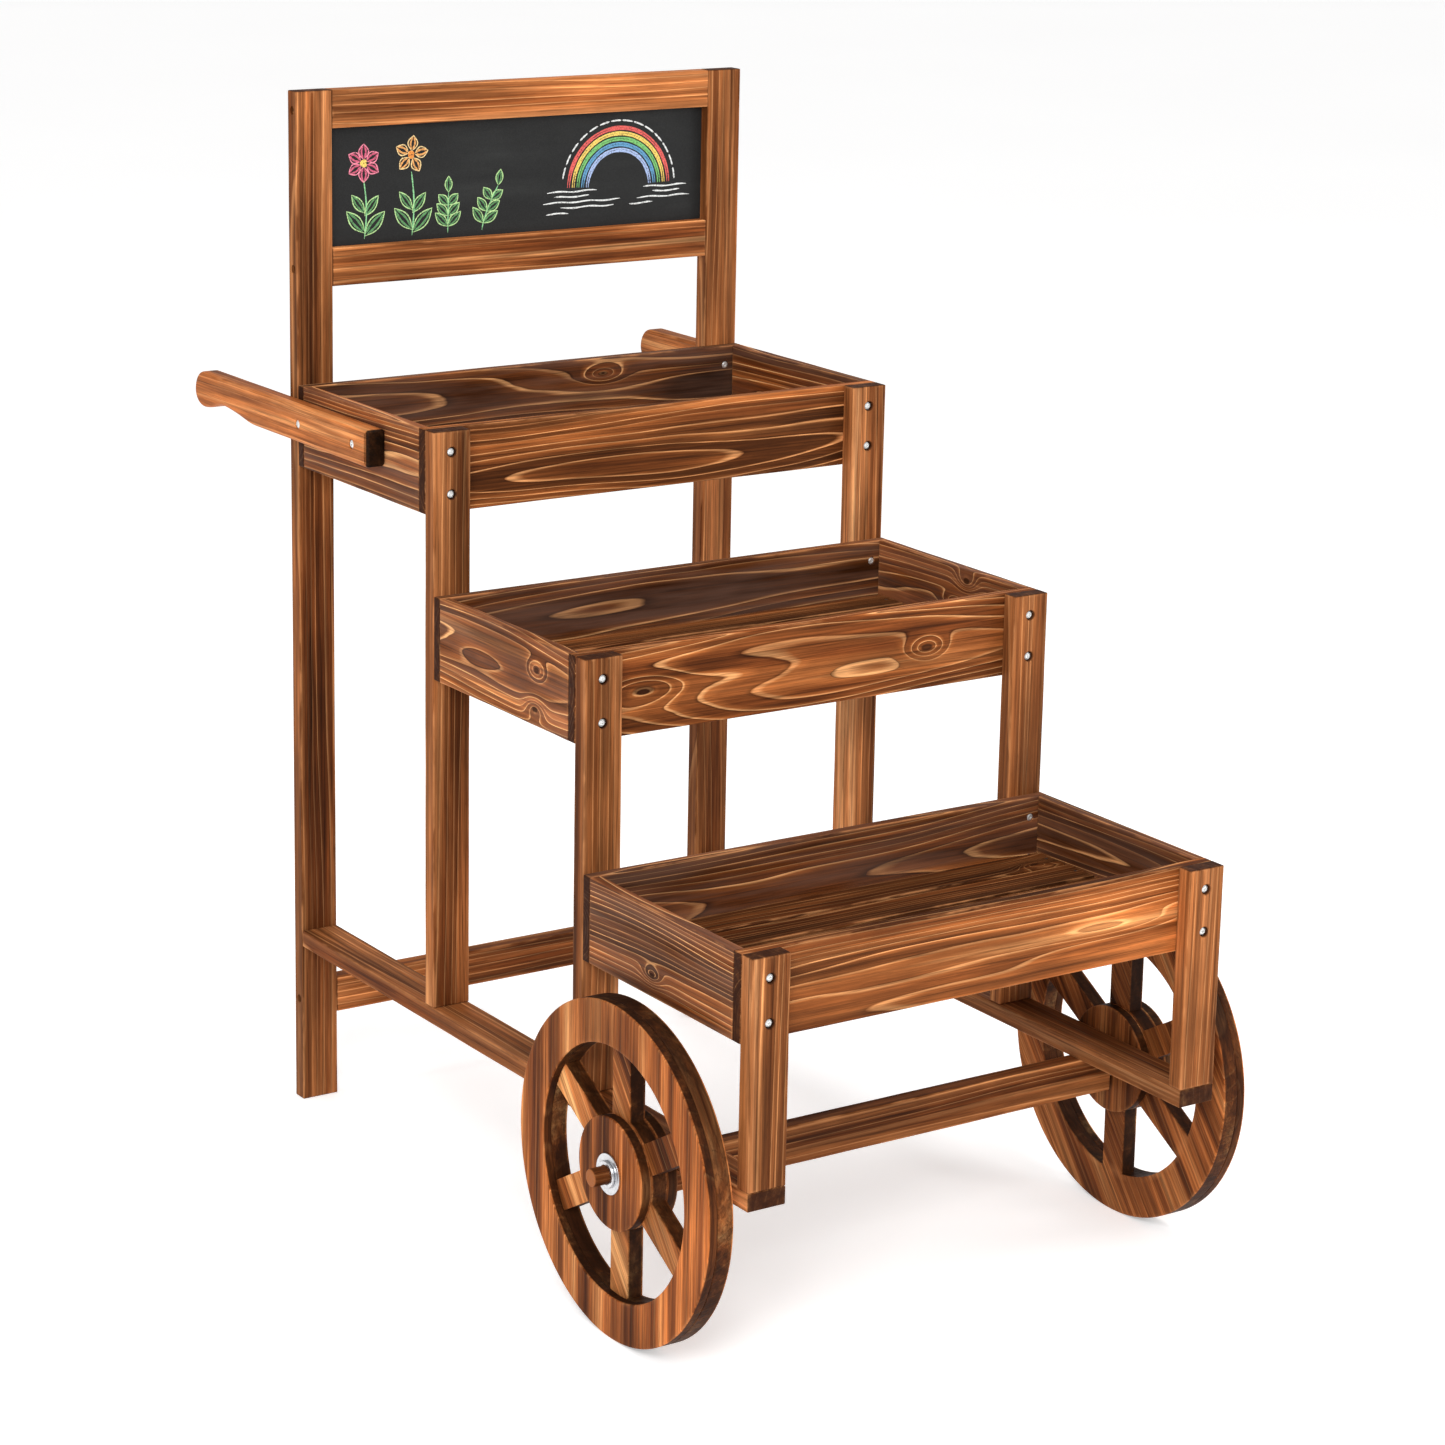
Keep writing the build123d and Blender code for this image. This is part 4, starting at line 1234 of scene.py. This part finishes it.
def strokeSurface(path, width, seed, look, face):
    # a low mound carried along a line of points: half an oval above the board, and flat below it; its
    # width wanders by slow waves as chalk does, and draws in at both ends
    path = np.array(path, dtype=float)
    run = np.gradient(path, axis=0)
    run /= np.maximum(np.linalg.norm(run, axis=1), 1e-9)[:, None]
    side = np.stack([-run[:, 1], run[:, 0]], axis=1)
    share = np.linspace(0.0, 1.0, len(path))
    half = width / 2 * (0.72 + 0.5 * slowWave(np.random.default_rng(seed), share * 0.3, 0.15, 1)[:, 0])
    half *= np.minimum(1.0, 0.35 + 6 * np.minimum(share, 1 - share))
    across = np.array([-1.0, -0.7, 0.0, 0.7, 1.0])
    lift = np.array([0.0, 0.7, 1.0, 0.7, 0.0]) * look["lift"]
    flat = path[:, None] + side[:, None] * half[:, None, None] * across[None, :, None]
    rows = np.zeros((len(path), len(across), 3))
    rows[..., 0], rows[..., 2] = flat[..., 0], flat[..., 1]
    rows[..., 1] = face - lift[None] + look["sunk"]
    return tube(rows)


def arcPath(centre, radius, start, stop, count):
    angles = np.radians(np.linspace(start, stop, count))
    return np.stack([centre[0] + radius * np.cos(angles), centre[1] + radius * np.sin(angles)], axis=1)


strokes = []  # colour, path in X and Z, width


def drawLeaf(root, length, lean, width, edge, fill):
    # a leaf or petal goes out along one side, bowed by width * sine, and back along the other; broad
    # strokes fill it first, and its outline comes last
    t = np.linspace(0.0, 1.0, 12)
    bow = width * np.sin(math.pi * t)[:, None]
    angle = math.radians(lean)
    ahead = np.array(root) + length * t[:, None] * np.array([math.sin(angle), math.cos(angle)])
    aside = bow * np.array([math.cos(angle), -math.sin(angle)])
    for shift in (-0.45, 0.45):
        strokes.append((fill, (ahead + aside * shift)[1:-1], width * 0.36))
    outline = np.concatenate([ahead + aside, (ahead - aside)[-2::-1]])
    strokes.append((edge, outline, drawing["outline"]))


def drawFlower(look, place, count, petals, heart, turned):
    x, z = place
    petal = look["petal"]
    for turn in turned + np.arange(count) * 360.0 / count:
        angle = math.radians(turn)
        root = (x + petal["from"] * math.sin(angle), z + petal["from"] * math.cos(angle))
        drawLeaf(root, petal["length"], turn, petal["width"], petals, petals + "Deep")
    strokes.append((heart, arcPath(place, 2.4 * mm, 0, 360, 14), look["heart"]))
    bend = 0.003 * np.sin(np.linspace(0.0, 3.0, 20))
    stem = np.stack([x + bend, np.linspace(z - 0.018, look["ground"], 20)], axis=1)
    strokes.append(("leaf", stem, look["stem"]))
    for height, lean, length in look["leaves"]:
        root = (x + 0.001, look["ground"] + height)
        drawLeaf(root, length, lean, length * 0.20, "paleLeaf", "leafDeep")


def drawSprig(look, foot, lean, height):
    share = np.linspace(0.0, 1.0, 20)
    line = np.stack([foot + lean * share**1.4, look["ground"] + height * share], axis=1)
    strokes.append(("leaf", line, look["thinStem"]))
    tilt = 500 * lean  # the leaves lean with the stem, in degrees
    for number, joint in enumerate((3, 8, 13)):
        for turn in (46, -46):
            drawLeaf(line[joint], 0.0215 - 0.0025 * number, turn + tilt, 0.0048, "paleLeaf", "leafDeep")
    drawLeaf(line[-1], 0.017, tilt, 0.0042, "paleLeaf", "leafDeep")


def drawRainbow(look, bow):
    # pairs of arcs for each band, with short dashes outside them
    for number, colour in enumerate(bow["bands"]):
        for offset in (-1.2 * mm, 1.2 * mm):
            reach = bow["radius"] - bow["step"] * number + offset
            strokes.append((colour, arcPath(bow["centre"], reach, 2, 178, 60), bow["width"]))
    for start in np.arange(4, 172, 12.0):
        stop = start + 10.2 + 0.8 * math.sin(start)
        strokes.append(("white", arcPath(bow["centre"], bow["dashes"], start, stop, 9), look["dash"]))


def drawRipple(look, start, stop, height):
    x = np.linspace(start, stop, 22)
    wave = height + 0.6 * mm * np.sin(x * 160.0)
    strokes.append(("white", np.stack([x, wave], axis=1), look["ripple"]))


for flowerLook in drawing["flowers"]:
    drawFlower(drawing, **flowerLook)
for sprigLook in drawing["sprigs"]:
    drawSprig(drawing, *sprigLook)
drawRainbow(drawing, drawing["rainbow"])
for ripple in drawing["ripples"]:
    drawRipple(drawing, *ripple)

strokeSeeds = 300
surfaces = [strokeSurface(path, width, seed, drawing, panelLow[1])
            for seed, (_, path, width) in enumerate(strokes, strokeSeeds)]
chalkDrawing = pieceOf("chalk_drawing", joinSurfaces(surfaces))
tints = [np.tile(linear(*chalk[colour]) + (1.0,), (len(points), 1))
         for (colour, _, _), (points, _) in zip(strokes, surfaces)]
saveAttribute(chalkDrawing.data, "tint", np.concatenate(tints), "FLOAT_COLOR")
chalkDrawing.data.materials.append(chalkFinish())
smoothShade(chalkDrawing.data, 60.0)
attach(chalkDrawing, "root")
print("chalkboard drawn:", len(strokes), "strokes")

# the fasteners keep their own meshes
for name in fasteners:
    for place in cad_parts[name].material_slots:
        place.material = finishes["nail_steel" if name in nails else "zinc_screw"]
